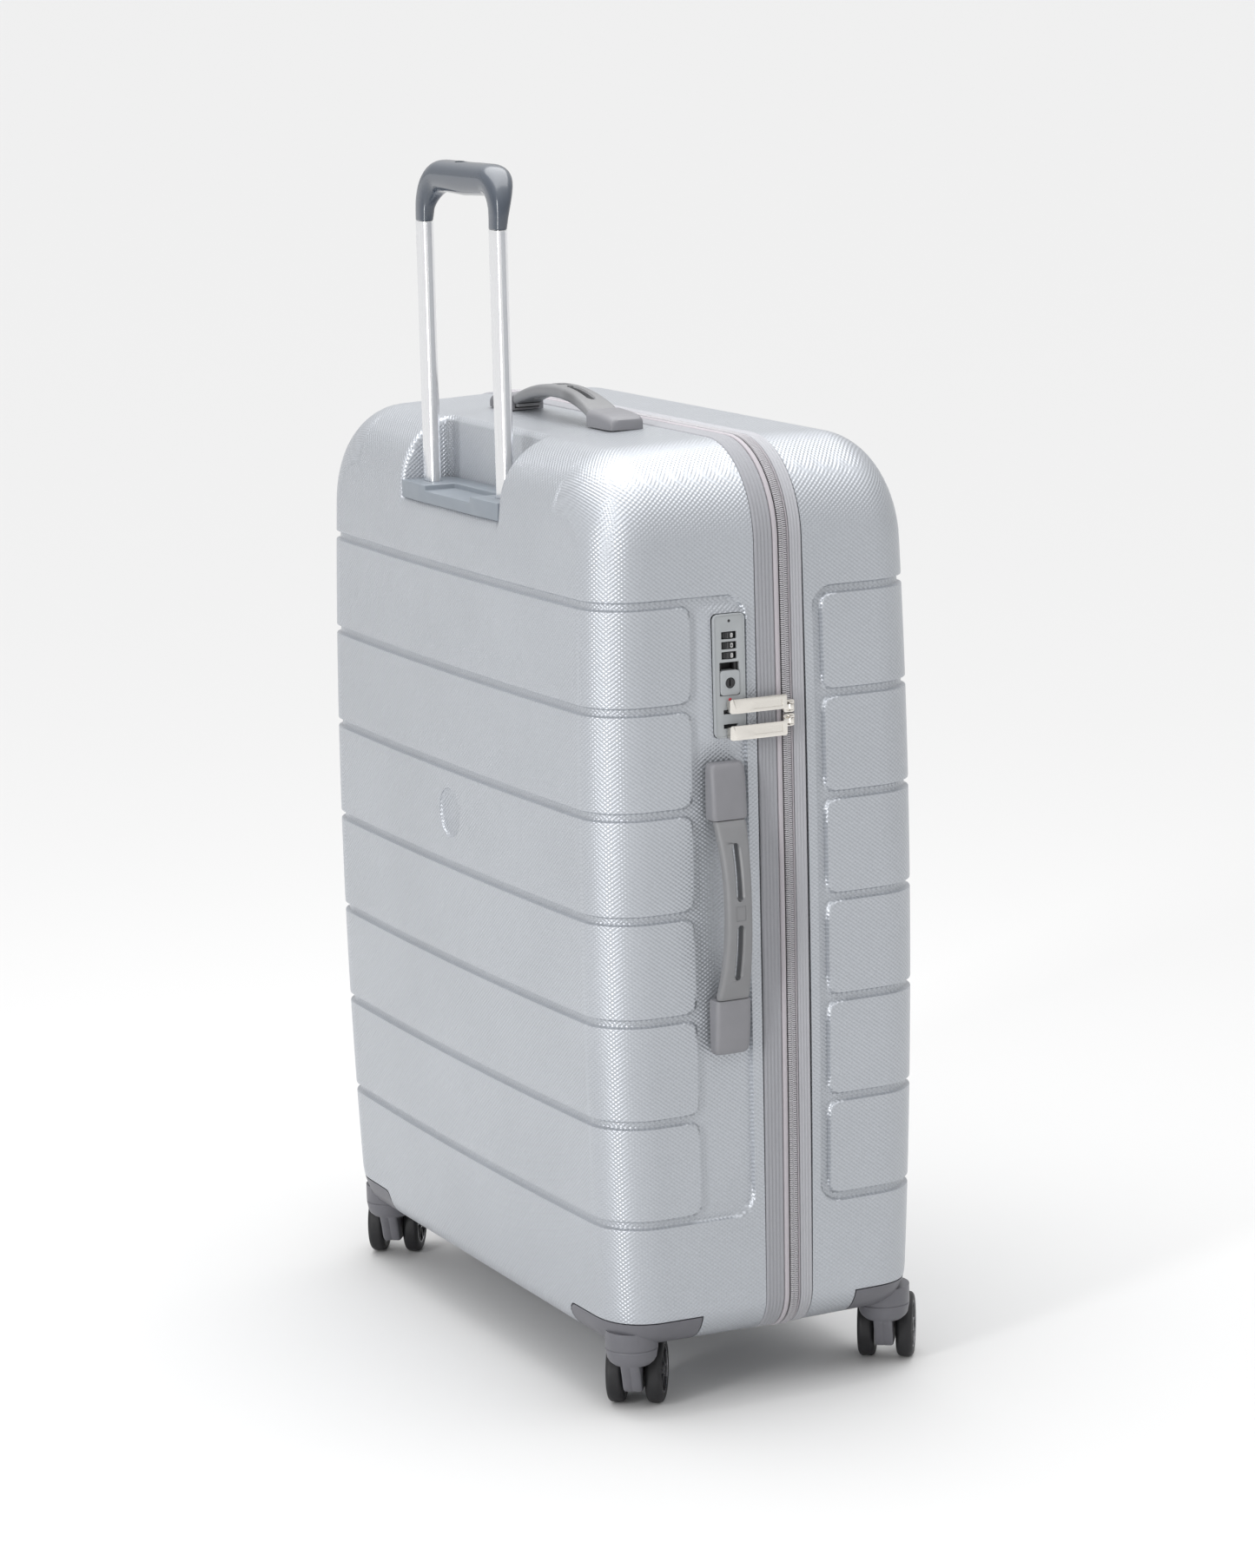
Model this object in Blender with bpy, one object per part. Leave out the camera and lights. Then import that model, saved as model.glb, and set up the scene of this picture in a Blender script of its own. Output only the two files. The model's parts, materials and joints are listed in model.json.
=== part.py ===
"""Hard shell suitcase on four twin-wheel casters, as an assembly of its real pieces.

Frame: metres, +Z up, floor at z = 0, origin under the middle of the whole object.
-Y is the back shell with the telescopic trolley handle, +Y is the lid shell,
+X is the side with the lock and the side carry handle, -X is the hinge side.
"""
import math

import bmesh
import bpy
from mathutils import Matrix, Vector

# ---------------------------------------------------------------- driving dimensions
GAP = 0.0003                 # clearance between neighbouring solids
SHIFT = (-0.0037, 0.0020)    # moves the case so that the whole object is centred on the origin

HALF_WIDTH = 0.2665          # half width of the case at the zip
TOP = 0.746                  # top of the case above the floor
BOTTOM = 0.053               # underside of the case
MIDDLE = (TOP + BOTTOM) / 2
HALF_HEIGHT = (TOP - BOTTOM) / 2
CORNER_TOP = 0.072           # top corner radius seen from the front
CORNER_BOTTOM = 0.034        # bottom corner radius seen from the front
SIDE_CROWN = 0.0037          # outward bow of the sides at mid height
PANEL_CROWN_Z = 0.0087       # outward bow of the big panels along their height
PANEL_CROWN_X = 0.0045       # outward bow of the big panels across their width
DRAFT_BACK = 0.0325          # taper of the back shell walls per metre of depth
DRAFT_FRONT = 0.0235         # taper of the lid walls per metre of depth
BACK_DEPTH = 0.1418          # zip plane to the edge of the back panel
FRONT_DEPTH = 0.1198         # zip plane to the edge of the lid panel
EDGE_SIDE = 0.038            # rounding between panel and side walls
EDGE_TOP = 0.045             # rounding between panel and top wall
EDGE_BOTTOM = 0.022          # rounding between panel and bottom wall
SHELL = 0.0026               # shell wall thickness

BACK_RIM = -0.0188           # y of the back shell's rim
FRONT_RIM = 0.0225           # y of the lid shell's rim
CHAIN_Y = 0.0055             # y of the zip chain's centre line
TAPE = 0.0024                # thickness of the zip tape with its piping
LINING_OFFSET = 0.0064       # lining's outer skin measured from the shell's outer skin
LINING = 0.0014              # lining thickness
LINING_FLOOR = 0.1205        # depth of the back lining's floor, in front of the guide tubes

HINGE_X = -0.2722            # x of the fabric hinge line
NOTCH_HALF = 0.0915          # trolley recess half width
NOTCH_WALL_Y = -0.104        # back wall of the trolley recess
NOTCH_FLOOR = 0.6797         # floor of the trolley recess
NOTCH_RADIUS = 0.010         # upright corners of the recess
TRAY_TOP = 0.694             # top of the plastic tray in the recess

TUBE_X = 0.069               # half distance between the trolley tubes
TUBE_Y = -0.130
TUBE = (0.018, 0.0095)       # trolley tube section
TUBE_WALL = 0.0012
TUBE_TOP = 0.9007
TUBE_BOTTOM = 0.4495
GUIDE_CLEARANCE = 0.0005
GUIDE_WALL = 0.0012
GUIDE_BOTTOM = 0.0705
GRIP_TOP = 0.9496
GRIP_LEG_BOTTOM = TUBE_TOP + GAP
GRIP_LEG = (0.0092, 0.0056)  # half width and half depth of the grip where it meets a tube
GRIP_BAR = (0.0119, 0.0129)  # half height and half depth of the grip's bar
GRIP_BEND = 0.027            # bend radius of the grip's centre line
GRIP_SHIFT = 0.0078          # how far the bar stands back from the tubes
GRIP_SAG = 0.0024            # bow of the bar's underside
GRIP_GROWTH = 0.0475         # length over which a leg grows into the bar
BUTTON = (0.030, 0.010, 0.0052)
BUTTON_TRAVEL = 0.003
BUTTON_Y = TUBE_Y + GRIP_SHIFT
BUTTON_ROOM = 0.0005
BUTTON_POCKET = 0.0098       # depth of the button's pocket below the top of the grip

HANDLE_HALF = 0.1125         # half length of a carry handle over its end blocks
BLOCK_LENGTH = 0.043
BLOCK_WIDTH = 0.030
BLOCK_HEIGHT = 0.013
HANDLE_RISE = 0.026          # outer face of the grip above the shell at its middle
TOP_HANDLE_Y = -0.0445
SIDE_HANDLE_Y = -0.0495
TONGUE = 0.021               # reach of the grip's tongue into an end block
TONGUE_HALF = 0.0100
TONGUE_HEIGHT = (0.0028, 0.0052)
TOP_HANDLE_Z = 0.7451
SIDE_HANDLE_X = 0.2692
SIDE_HANDLE_Z = 0.3980

LOCK_Y = -0.0425
LOCK_Z = (0.528, 0.6217)
LOCK_WIDTH = 0.0262
LOCK_FACE_X = 0.2702
PLATE = 0.003
DIAL_RADIUS = 0.006
DIAL_X = 0.2648
DIAL_HALF = 0.0025
DIAL_Z = (0.6055, 0.5979, 0.5903)
SLIDER_Z = (0.5603, 0.5790)
SLIDER_HALF = 0.0080
SLIDER_TRAVEL = 0.005
KEY_Z = 0.5696
KEY_RADIUS = 0.0040
PULL_SLOT_Z = (0.5475, 0.5365)
PULL_SLOT_HALF = 0.0016
LOCK_BACK_X = 0.2490         # back of the lock body inside the case
SPINDLE_RADIUS = 0.0012
DIAL_ROOM = 0.0004
SLIDER_ROOM = 0.0012         # free space above the lock slider at the end of its travel
SLIDER_PROUD = 0.0008
STALK_X = 0.2610             # back end of the lock slider's stalk
STALK_HALF = 0.0050
KEY_BACK_X = 0.2640
KEYHOLE = (0.0005, 0.0026, 0.0022)

ZIP_SLIDER_Z = (0.5478, 0.5372)
ZIP_PULL_Z = (0.5523, 0.5320)
ZIP_PULL_X = 0.2767          # x of the pin that a zip pull hangs on
ZIP_SLIDER_X = (0.2706, 0.2738)
ZIP_SLIDER_HALF = (0.0045, 0.0048)
LUG_Z = (0.0024, 0.0036)
LUG_HALF = 0.0016
PIN_RADIUS = 0.0009
PULL_RING = (0.0012, 0.0024)
PULL_START = 0.0036          # bar's near end from the pin, clear of the slider's lugs
PULL_THICKNESS = 0.0018
PULL_WIDTH = 0.011
PULL_TIP_Y = -0.0460
PULL_TOOTH = 0.0053          # reach of the locking tooth behind the pull

AXIS_X = 0.2323              # caster swivel axes
AXIS_BACK_Y = -0.119
AXIS_FRONT_Y = 0.104
TRAIL = 0.028                # swivel axis to axle
TRAIL_ANGLE = math.radians(146)
WHEEL_RADIUS = 0.026
WHEEL_WIDTH = 0.0135
WHEEL_INNER = 0.0085         # inner face of a wheel from the fork's middle
WHEEL_SIDES = 20
CUP_RADIUS = 0.0205
CUP_TOP = 0.0535
CUP_BOTTOM = 0.0440
NECK_TOP = 0.068            # top of the round neck inside the caster housing
HOUSING_TOP = 0.077
HOUSING_X = 0.176
HOUSING_BACK_Y = -0.073
HOUSING_FRONT_Y = 0.062
AXLE_RADIUS = 0.0026
AXLE_HALF = 0.0215
BEARING_RADIUS = 0.0125
BEARING_TOP = 0.0765
STEM_RADIUS = 0.0040
STEM_TOP = 0.0700
FORK_HALF = 0.0072           # half width of the leg between the wheels
FORK_OUTLINE = (             # side view of the leg: distance along the trail, height
    (-0.0150, 0.0460), (-0.0085, 0.0300), (-0.0020, 0.0185), (0.0060, 0.0150),
    (0.0300, 0.0160), (0.0355, 0.0235), (0.0340, 0.0340), (0.0190, 0.0475),
)

PI = math.pi


# ---------------------------------------------------------------- scene helpers
def clear_scene():
    for item in list(bpy.data.objects):
        bpy.data.objects.remove(item, do_unlink=True)


def material(name, color, roughness, metallic=0.0):
    made = bpy.data.materials.new(name)
    made.use_nodes = True
    shader = made.node_tree.nodes["Principled BSDF"]
    shader.inputs["Base Color"].default_value = (*color, 1.0)
    shader.inputs["Roughness"].default_value = roughness
    shader.inputs["Metallic"].default_value = metallic
    made.diffuse_color = (*color, 1.0)
    return made


def link(name, bm, look, pivot=(0.0, 0.0, 0.0), smooth=True):
    """Makes an object whose origin is at pivot and whose mesh is given in case coordinates."""
    bmesh.ops.translate(bm, vec=-Vector(pivot), verts=bm.verts)
    bmesh.ops.recalc_face_normals(bm, faces=bm.faces)
    mesh = bpy.data.meshes.new(name)
    bm.to_mesh(mesh)
    bm.free()
    made = bpy.data.objects.new(name, mesh)
    bpy.context.scene.collection.objects.link(made)
    made.location = pivot
    made.parent = bpy.data.objects["suitcase"]
    if smooth:
        mesh.shade_smooth()
        mesh.set_sharp_from_angle(angle=math.radians(35))
    if look is not None:
        mesh.materials.append(look)
    return made


def combine(target, operand, operation):
    """Applies one Boolean to target and removes the operand."""
    cut = target.modifiers.new("cut", "BOOLEAN")
    cut.operation = operation
    cut.solver = "EXACT"
    cut.object = operand
    graph = bpy.context.evaluated_depsgraph_get()
    graph.update()
    result = bpy.data.meshes.new_from_object(target.evaluated_get(graph))
    target.modifiers.clear()
    target.data = result
    bpy.data.objects.remove(operand, do_unlink=True)
    result.shade_smooth()
    result.set_sharp_from_angle(angle=math.radians(35))
    return target


def subtract(target, cutter_bm):
    return combine(target, link("cutter", cutter_bm, None), "DIFFERENCE")


def add(target, other_bm):
    return combine(target, link("joined", other_bm, None), "UNION")


def keep(target, other_bm):
    return combine(target, link("common", other_bm, None), "INTERSECT")


# ---------------------------------------------------------------- mesh helpers
def loft(rings, closed=False):
    """Skins equal rings of points in order and caps both ends, or joins last to first."""
    bm = bmesh.new()
    made = [[bm.verts.new(point) for point in ring] for ring in rings]
    pairs = list(zip(made, made[1:]))
    if closed:
        pairs.append((made[-1], made[0]))
    for first, second in pairs:
        count = len(first)
        for i in range(count):
            j = (i + 1) % count
            bm.faces.new((first[i], first[j], second[j], second[i]))
    if not closed:
        bm.faces.new(made[0])
        bm.faces.new(made[-1])
    return bm


def box(low, high, bevel=0.0, axis=2, segments=3):
    """A box between two corners, with its edges along one axis rounded."""
    bm = bmesh.new()
    bmesh.ops.create_cube(bm, size=1.0)
    for vert in bm.verts:
        for k in range(3):
            vert.co[k] = low[k] if vert.co[k] < 0 else high[k]
    if bevel > 0:
        chosen = [
            edge for edge in bm.edges
            if abs(edge.verts[0].co[axis] - edge.verts[1].co[axis]) > 1e-6
        ]
        bmesh.ops.bevel(
            bm, geom=chosen, offset=bevel, segments=segments, affect="EDGES", profile=0.5)
    return bm


def prism(center, direction, profile, sides, phase=0.0):
    """A turned solid: profile is (radius, height) pairs along direction from center."""
    turn = Vector((0, 0, 1)).rotation_difference(Vector(direction)).to_matrix()
    rings = []
    for radius, height in profile:
        ring = []
        for i in range(sides):
            angle = phase + 2 * PI * i / sides
            local = Vector((radius * math.cos(angle), radius * math.sin(angle), height))
            ring.append(Vector(center) + turn @ local)
        rings.append(ring)
    return loft(rings)


def tube(center_x, center_y, size, wall, low, high, edge=0.0022):
    """An upright hollow tube of rounded rectangular section."""
    bm_rings = []
    for grow, z in ((0.0, low), (0.0, high), (-wall, high), (-wall, low)):
        half = (size[0] / 2 + grow, size[1] / 2 + grow)
        radius = max(edge + grow, 0.0006)
        bm_rings.append([
            (center_x + x, center_y + y, z) for x, y in rounded_rectangle(half, radius, 2)
        ])
    return loft(bm_rings, closed=True)


def rounded_rectangle(half, radius, steps):
    points = []
    for k, (sx, sy) in enumerate(((1, 1), (-1, 1), (-1, -1), (1, -1))):
        for i in range(steps + 1):
            angle = PI / 2 * (k + i / steps)
            points.append((
                sx * (half[0] - radius) + radius * math.cos(angle),
                sy * (half[1] - radius) + radius * math.sin(angle),
            ))
    return points


# ---------------------------------------------------------------- shell surface
def edge_round(distance, depth, radius):
    """How far a wall has turned inwards at a distance from the zip plane."""
    into = distance - (depth - radius)
    if into <= 0:
        return 0.0
    return radius - math.sqrt(max(radius * radius - into * into, 0.0))


def half_outline(distance, depth, draft, skin):
    """Right half of the case outline at a depth, bottom to top, moved inwards by skin."""
    side = HALF_WIDTH - draft * distance - edge_round(distance, depth, EDGE_SIDE) - skin
    top = TOP - draft * distance - edge_round(distance, depth, EDGE_TOP) - skin
    bottom = BOTTOM + edge_round(distance, depth, EDGE_BOTTOM) + skin
    turned = edge_round(distance, depth, EDGE_SIDE)
    radius_top = CORNER_TOP - 0.9 * turned - skin
    radius_bottom = CORNER_BOTTOM - 0.4 * turned - skin
    points = []
    for i in range(4):
        angle = -PI / 2 + PI / 2 * i / 3
        points.append((
            side - radius_bottom + radius_bottom * math.cos(angle),
            bottom + radius_bottom + radius_bottom * math.sin(angle),
        ))
    for offset in (-0.16, -0.035, 0.035, 0.16):
        points.append((side, MIDDLE + offset))
    for i in range(5):
        angle = PI / 2 * i / 4
        points.append((
            side - radius_top + radius_top * math.cos(angle),
            top - radius_top + radius_top * math.sin(angle),
        ))
    return points


def crown(z):
    ratio = (z - MIDDLE) / HALF_HEIGHT
    return max(1 - ratio * ratio, 0.0)


def shell_ring(distance, depth, draft, skin, sign, flat=False):
    """One closed ring of the case surface; sign is -1 for the back and +1 for the lid."""
    right = []
    for x, z in half_outline(distance, depth, draft, skin):
        bow = 0.0 if flat else PANEL_CROWN_Z * crown(z) * distance / depth
        right.append((x + SIDE_CROWN * crown(z), sign * (distance + bow), z))
    left = [(-x, y, z) for x, y, z in reversed(right)]
    return right + left


def panel_row(x_edge, y, z, sign):
    """Points between the ends of one row of the big panel, from left to right."""
    row = []
    for part in (-0.62, -0.25, 0.25, 0.62):
        bow = PANEL_CROWN_X * (1 - part * part) * min(crown(z) * 3, 1.0)
        row.append((part * x_edge, y + sign * bow, z))
    return row


def bowl(rim, depth, draft, skin, sign, flat=False):
    """A closed solid between a flat rim plane and the crowned panel, without a hollow."""
    start = depth - max(EDGE_SIDE, EDGE_TOP)
    stops = [rim, start]
    stops += [depth - EDGE_SIDE * (1 - math.sin(PI / 2 * i / 4)) for i in range(1, 4)]
    stops.append(depth)
    rings = []
    for stop in stops:
        ring = shell_ring(stop, depth, draft, skin, sign, flat)
        rings.append([(x, y - sign * skin * stop / depth, z) for x, y, z in ring])
    bm = bmesh.new()
    made = [[bm.verts.new(point) for point in ring] for ring in rings]
    count = len(rings[0])
    for first, second in zip(made, made[1:]):
        for i in range(count):
            j = (i + 1) % count
            bm.faces.new((first[i], first[j], second[j], second[i]))
    half = count // 2
    for i in range(half - 1):
        bm.faces.new((made[0][i], made[0][i + 1], made[0][count - 2 - i], made[0][count - 1 - i]))
    grid = []
    for i in range(half):
        between = [] if flat else panel_row(*rings[-1][i], sign)
        line = [made[-1][count - 1 - i]]
        line += [bm.verts.new(point) for point in between]
        line.append(made[-1][i])
        grid.append(line)
    for lower, upper in zip(grid, grid[1:]):
        for a, b, c, d in zip(lower, lower[1:], upper[1:], upper):
            bm.faces.new((a, b, c, d))
    if not flat:
        bm.faces.new(grid[0])
        bm.faces.new(grid[-1])
    bmesh.ops.recalc_face_normals(bm, faces=bm.faces)
    return bm


# ---------------------------------------------------------------- shells and linings
def notch(grow):
    """The recess for the trolley handle, open upwards and backwards."""
    half = NOTCH_HALF + grow
    return box(
        (-half, -0.25, NOTCH_FLOOR - grow),
        (half, NOTCH_WALL_Y + grow, TOP + 0.05),
        bevel=NOTCH_RADIUS + grow)


def caster_corner(side, end, grow):
    """The corner of the case that a caster housing takes up."""
    inner_y = HOUSING_BACK_Y if end < 0 else HOUSING_FRONT_Y
    x_pair = sorted((side * (HOUSING_X - grow), side * 0.32))
    y_pair = sorted((inner_y - end * grow, end * 0.20))
    return box(
        (x_pair[0], y_pair[0], 0.02),
        (x_pair[1], y_pair[1], HOUSING_TOP + grow),
        bevel=0.008, axis=1)


def caster_dome(side, end, grow):
    """Room for the caster's bearing boss inside the case."""
    axis_y = AXIS_BACK_Y if end < 0 else AXIS_FRONT_Y
    reach = 0.016 + grow
    x_pair = sorted((side * (AXIS_X - reach), side * 0.32))
    y_pair = sorted((axis_y - end * reach, end * 0.20))
    return box((x_pair[0], y_pair[0], 0.02), (x_pair[1], y_pair[1], 0.0785 + grow))


def back_solid(rim, depth, skin, flat=False):
    return bowl(rim, depth, DRAFT_BACK, skin, -1, flat)


def front_solid(rim, depth, skin, flat=False):
    return bowl(rim, depth, DRAFT_FRONT, skin, 1, flat)


def make_back_shell(look):
    shell = link("back_shell", back_solid(-BACK_RIM, BACK_DEPTH, 0.0), look)
    subtract(shell, notch(0.0))
    hollow = link("hollow", back_solid(0.008, BACK_DEPTH, SHELL), None)
    subtract(hollow, notch(SHELL))
    combine(shell, hollow, "DIFFERENCE")
    for side in (-1, 1):
        subtract(shell, caster_corner(side, -1, GAP))
    subtract(shell, box(
        (0.25, LOCK_Y - LOCK_WIDTH / 2 - GAP, LOCK_Z[0] - GAP),
        (0.30, LOCK_Y + LOCK_WIDTH / 2 + GAP, LOCK_Z[1] + GAP),
        bevel=0.004, axis=0, segments=2))
    room = (TUBE[0] / 2 + 0.0012, TUBE[1] / 2 + 0.0012)
    for side in (-1, 1):
        middle = side * TUBE_X
        subtract(shell, box(
            (middle - room[0], TUBE_Y - room[1], NOTCH_FLOOR - 0.02),
            (middle + room[0], TUBE_Y + room[1], NOTCH_FLOOR + 0.02)))
    return shell


def make_front_shell(look, pivot):
    shell = link("front_shell", front_solid(FRONT_RIM, FRONT_DEPTH, 0.0), look)
    subtract(shell, front_solid(0.010, FRONT_DEPTH, SHELL))
    for side in (-1, 1):
        subtract(shell, caster_corner(side, 1, GAP))
    move_origin(shell, pivot)
    return shell


def make_back_lining(look):
    depth = LINING_FLOOR + LINING_OFFSET
    lining = link("back_lining", back_solid(0.014, depth, LINING_OFFSET, True), look)
    hollow = link("hollow", back_solid(0.004, depth, LINING_OFFSET + LINING, True), None)
    subtract(lining, notch(LINING_OFFSET))
    subtract(hollow, notch(LINING_OFFSET + LINING))
    for side in (-1, 1):
        subtract(lining, caster_dome(side, -1, 0.0))
        subtract(hollow, caster_dome(side, -1, LINING))
    combine(lining, hollow, "DIFFERENCE")
    subtract(lining, box(
        (0.235, LOCK_Y - 0.0125, LOCK_Z[0] + 0.0015),
        (0.290, LOCK_Y + 0.0125, LOCK_Z[1] - 0.0015)))
    return lining


def make_front_lining(look, pivot):
    depth = FRONT_DEPTH + 0.0012
    lining = link("front_lining", front_solid(0.020, depth, LINING_OFFSET, True), look)
    hollow = link("hollow", front_solid(0.008, depth, LINING_OFFSET + LINING, True), None)
    for side in (-1, 1):
        subtract(lining, caster_dome(side, 1, 0.0))
        subtract(hollow, caster_dome(side, 1, LINING))
    combine(lining, hollow, "DIFFERENCE")
    move_origin(lining, pivot)
    return lining


def move_origin(item, pivot):
    """Moves an object's origin onto its joint's axis without moving its mesh."""
    item.data.transform(Matrix.Translation(-Vector(pivot)))
    item.location = pivot


def make_zip_tape(name, low, high, look, pivot=(0.0, 0.0, 0.0)):
    """One half of the zip: a fabric band right round the case."""
    rings = []
    for skin, y in ((-0.0004, low), (-0.0004, high), (TAPE, high), (TAPE, low)):
        right = [
            (x + SIDE_CROWN * crown(z), y, z) for x, z in half_outline(0.0, BACK_DEPTH, 0.0, skin)
        ]
        rings.append(right + [(-x, y, z) for x, y, z in reversed(right)])
    return link(name, loft(rings, closed=True), look, pivot)


def make_interior(fabric, web, plastic, lid_pivot):
    """Packing straps on the back lining's floor and a flat pocket in the lid."""
    floor = -(LINING_FLOOR - LINING)
    strap = (0.0335, 0.2130)
    for name, side in (("packing_strap_left", -1), ("packing_strap_right", 1)):
        x_pair = sorted((side * strap[0], side * strap[1]))
        link(name, box(
            (x_pair[0], floor + GAP, MIDDLE - 0.0125),
            (x_pair[1], floor + 0.0018, MIDDLE + 0.0125)), web)
    link("strap_buckle", box(
        (-0.0330, floor + GAP, MIDDLE - 0.0190),
        (0.0330, floor + 0.0110, MIDDLE + 0.0190),
        bevel=0.006, axis=1), plastic)
    lid_floor = FRONT_DEPTH + 0.0012 - LINING_OFFSET - LINING
    link("lid_pocket", box(
        (-0.175, lid_floor - 0.0030, 0.125),
        (0.175, lid_floor - GAP, 0.420)), fabric, lid_pivot)


# ---------------------------------------------------------------- trolley handle
def make_tray(look):
    """The plastic tray in the recess that the tubes pass through."""
    front = -0.1486
    half = NOTCH_HALF - GAP
    low = NOTCH_FLOOR + GAP
    outline = [(-half, NOTCH_WALL_Y - GAP), (-half, front + 0.0010)]
    for part in (-0.6, 0.0, 0.6):
        outline.append((half * part, front - 0.0006 * (1 - part * part)))
    outline += [(half, front + 0.0010), (half, NOTCH_WALL_Y - GAP)]
    corner = NOTCH_RADIUS * 0.55
    outline[0] = (-half, NOTCH_WALL_Y - GAP - NOTCH_RADIUS)
    outline[-1] = (half, NOTCH_WALL_Y - GAP - NOTCH_RADIUS)
    outline += [
        (half - NOTCH_RADIUS + corner, NOTCH_WALL_Y - GAP - NOTCH_RADIUS + corner),
        (half - NOTCH_RADIUS, NOTCH_WALL_Y - GAP),
        (-half + NOTCH_RADIUS, NOTCH_WALL_Y - GAP),
        (-half + NOTCH_RADIUS - corner, NOTCH_WALL_Y - GAP - NOTCH_RADIUS + corner),
    ]
    rings = [[(x, y, z) for x, y in outline] for z in (low, TRAY_TOP)]
    tray = link("trolley_tray", loft(rings), look)
    subtract(tray, box((-0.043, -0.20, TRAY_TOP - 0.0045), (0.043, -0.122, TRAY_TOP + 0.01)))
    room = (TUBE[0] / 2 + 0.0006, TUBE[1] / 2 + 0.0006)
    for side in (-1, 1):
        middle = side * TUBE_X
        subtract(tray, box(
            (middle - room[0], TUBE_Y - room[1], low - 0.01),
            (middle + room[0], TUBE_Y + room[1], TRAY_TOP + 0.01)))
    return tray


def make_guides(metal, plastic):
    outer = tuple(size + 2 * (GUIDE_CLEARANCE + GUIDE_WALL) for size in TUBE)
    top = NOTCH_FLOOR - SHELL - GAP
    for name, side in (("guide_tube_left", -1), ("guide_tube_right", 1)):
        link(name, tube(
            side * TUBE_X, TUBE_Y, outer, GUIDE_WALL, GUIDE_BOTTOM, top, edge=0.0034), metal)
    link("guide_foot", box(
        (-0.085, -0.1290, 0.0605), (0.085, -0.1215, GUIDE_BOTTOM - GAP),
        bevel=0.003), plastic)


def grip_path():
    """Centre line of the trolley grip as (x, z, angle, growth from leg to bar)."""
    bar_z = GRIP_TOP - GRIP_BAR[0]
    start = bar_z - GRIP_BEND
    path = [(-TUBE_X, GRIP_LEG_BOTTOM, PI / 2, 0.0)]
    for i in range(7):
        angle = PI / 2 * i / 6
        length = start - GRIP_LEG_BOTTOM + GRIP_BEND * angle
        part = min(length / GRIP_GROWTH, 1.0)
        path.append((
            -TUBE_X + GRIP_BEND - GRIP_BEND * math.cos(angle),
            start + GRIP_BEND * math.sin(angle),
            PI / 2 - angle,
            part * part * (3 - 2 * part),
        ))
    path.append((-0.020, bar_z, 0.0, 1.0))
    return path + [(-x, z, -angle, growth) for x, z, angle, growth in reversed(path)]


def make_grip(look, pivot):
    rings = []
    for x, z, angle, growth in grip_path():
        across = GRIP_LEG[0] + (GRIP_BAR[0] - GRIP_LEG[0]) * growth
        deep = GRIP_LEG[1] + (GRIP_BAR[1] - GRIP_LEG[1]) * growth
        middle = TUBE_Y + GRIP_SHIFT * growth
        sag = GRIP_SAG * (1 - abs(x) / TUBE_X)
        rounding = min(across, deep) * (0.55 + 0.35 * growth)
        normal = (-math.sin(angle), math.cos(angle))
        rings.append([
            (x + normal[0] * u, middle + v, z + normal[1] * u - sag * (u < 0))
            for u, v in rounded_rectangle((across, deep), rounding, 2)
        ])
    grip = link("trolley_grip", loft(rings), look)
    half = (BUTTON[0] / 2 + BUTTON_ROOM, BUTTON[1] / 2 + BUTTON_ROOM)
    subtract(grip, box(
        (-half[0], BUTTON_Y - half[1], GRIP_TOP - BUTTON_POCKET),
        (half[0], BUTTON_Y + half[1], GRIP_TOP + 0.01)))
    move_origin(grip, pivot)
    return grip


def make_trolley(metal, plastic, dark, pivot):
    for name, side in (("trolley_tube_left", -1), ("trolley_tube_right", 1)):
        link(name, tube(
            side * TUBE_X, TUBE_Y, TUBE, TUBE_WALL, TUBE_BOTTOM, TUBE_TOP), metal, pivot)
    plug = (TUBE[0] / 2 + 0.0002, TUBE[1] / 2 + 0.0002)
    for name, side in (("tube_plug_left", -1), ("tube_plug_right", 1)):
        middle = side * TUBE_X
        link(name, box(
            (middle - plug[0], TUBE_Y - plug[1], TUBE_BOTTOM - 0.0105),
            (middle + plug[0], TUBE_Y + plug[1], TUBE_BOTTOM - GAP),
            bevel=0.002), dark, pivot)
    make_grip(plastic, pivot)


def make_release(metal, plastic, pivot):
    """The push button and the two rods that it pushes down inside the tubes."""
    top = GRIP_TOP - 0.0005
    link("grip_button", box(
        (-BUTTON[0] / 2, BUTTON_Y - BUTTON[1] / 2, top - BUTTON[2]),
        (BUTTON[0] / 2, BUTTON_Y + BUTTON[1] / 2, top),
        bevel=0.003), plastic, pivot)
    low = TUBE_BOTTOM + BUTTON_TRAVEL + 0.0012
    for name, side in (("release_rod_left", -1), ("release_rod_right", 1)):
        link(name, prism(
            (side * TUBE_X, TUBE_Y, 0), (0, 0, 1),
            ((0.0018, low), (0.0018, TUBE_TOP - 0.0006)), 8), metal, pivot)


# ---------------------------------------------------------------- carry handles
def placed(axis):
    """Maps (along, across, outward) of a carry handle into the case."""
    if axis == "top":
        return Matrix((
            (1, 0, 0, 0), (0, 1, 0, TOP_HANDLE_Y), (0, 0, 1, TOP_HANDLE_Z), (0, 0, 0, 1)))
    return Matrix((
        (0, 0, 1, SIDE_HANDLE_X), (0, -1, 0, SIDE_HANDLE_Y), (1, 0, 0, SIDE_HANDLE_Z),
        (0, 0, 0, 1)))


def moved(bm, matrix):
    bmesh.ops.transform(bm, matrix=matrix, verts=bm.verts)
    return bm


def handle_profile(part):
    """Half width, inner height and outer height of the grip at part (-1 to 1) of its arch."""
    wave = 1 - abs(part) ** 2.2
    half_width = 0.0105 + 0.0028 * part * part
    outer = BLOCK_HEIGHT + (HANDLE_RISE - BLOCK_HEIGHT) * wave
    inner = 0.0045 + 0.0115 * wave
    return half_width, inner, outer


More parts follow.
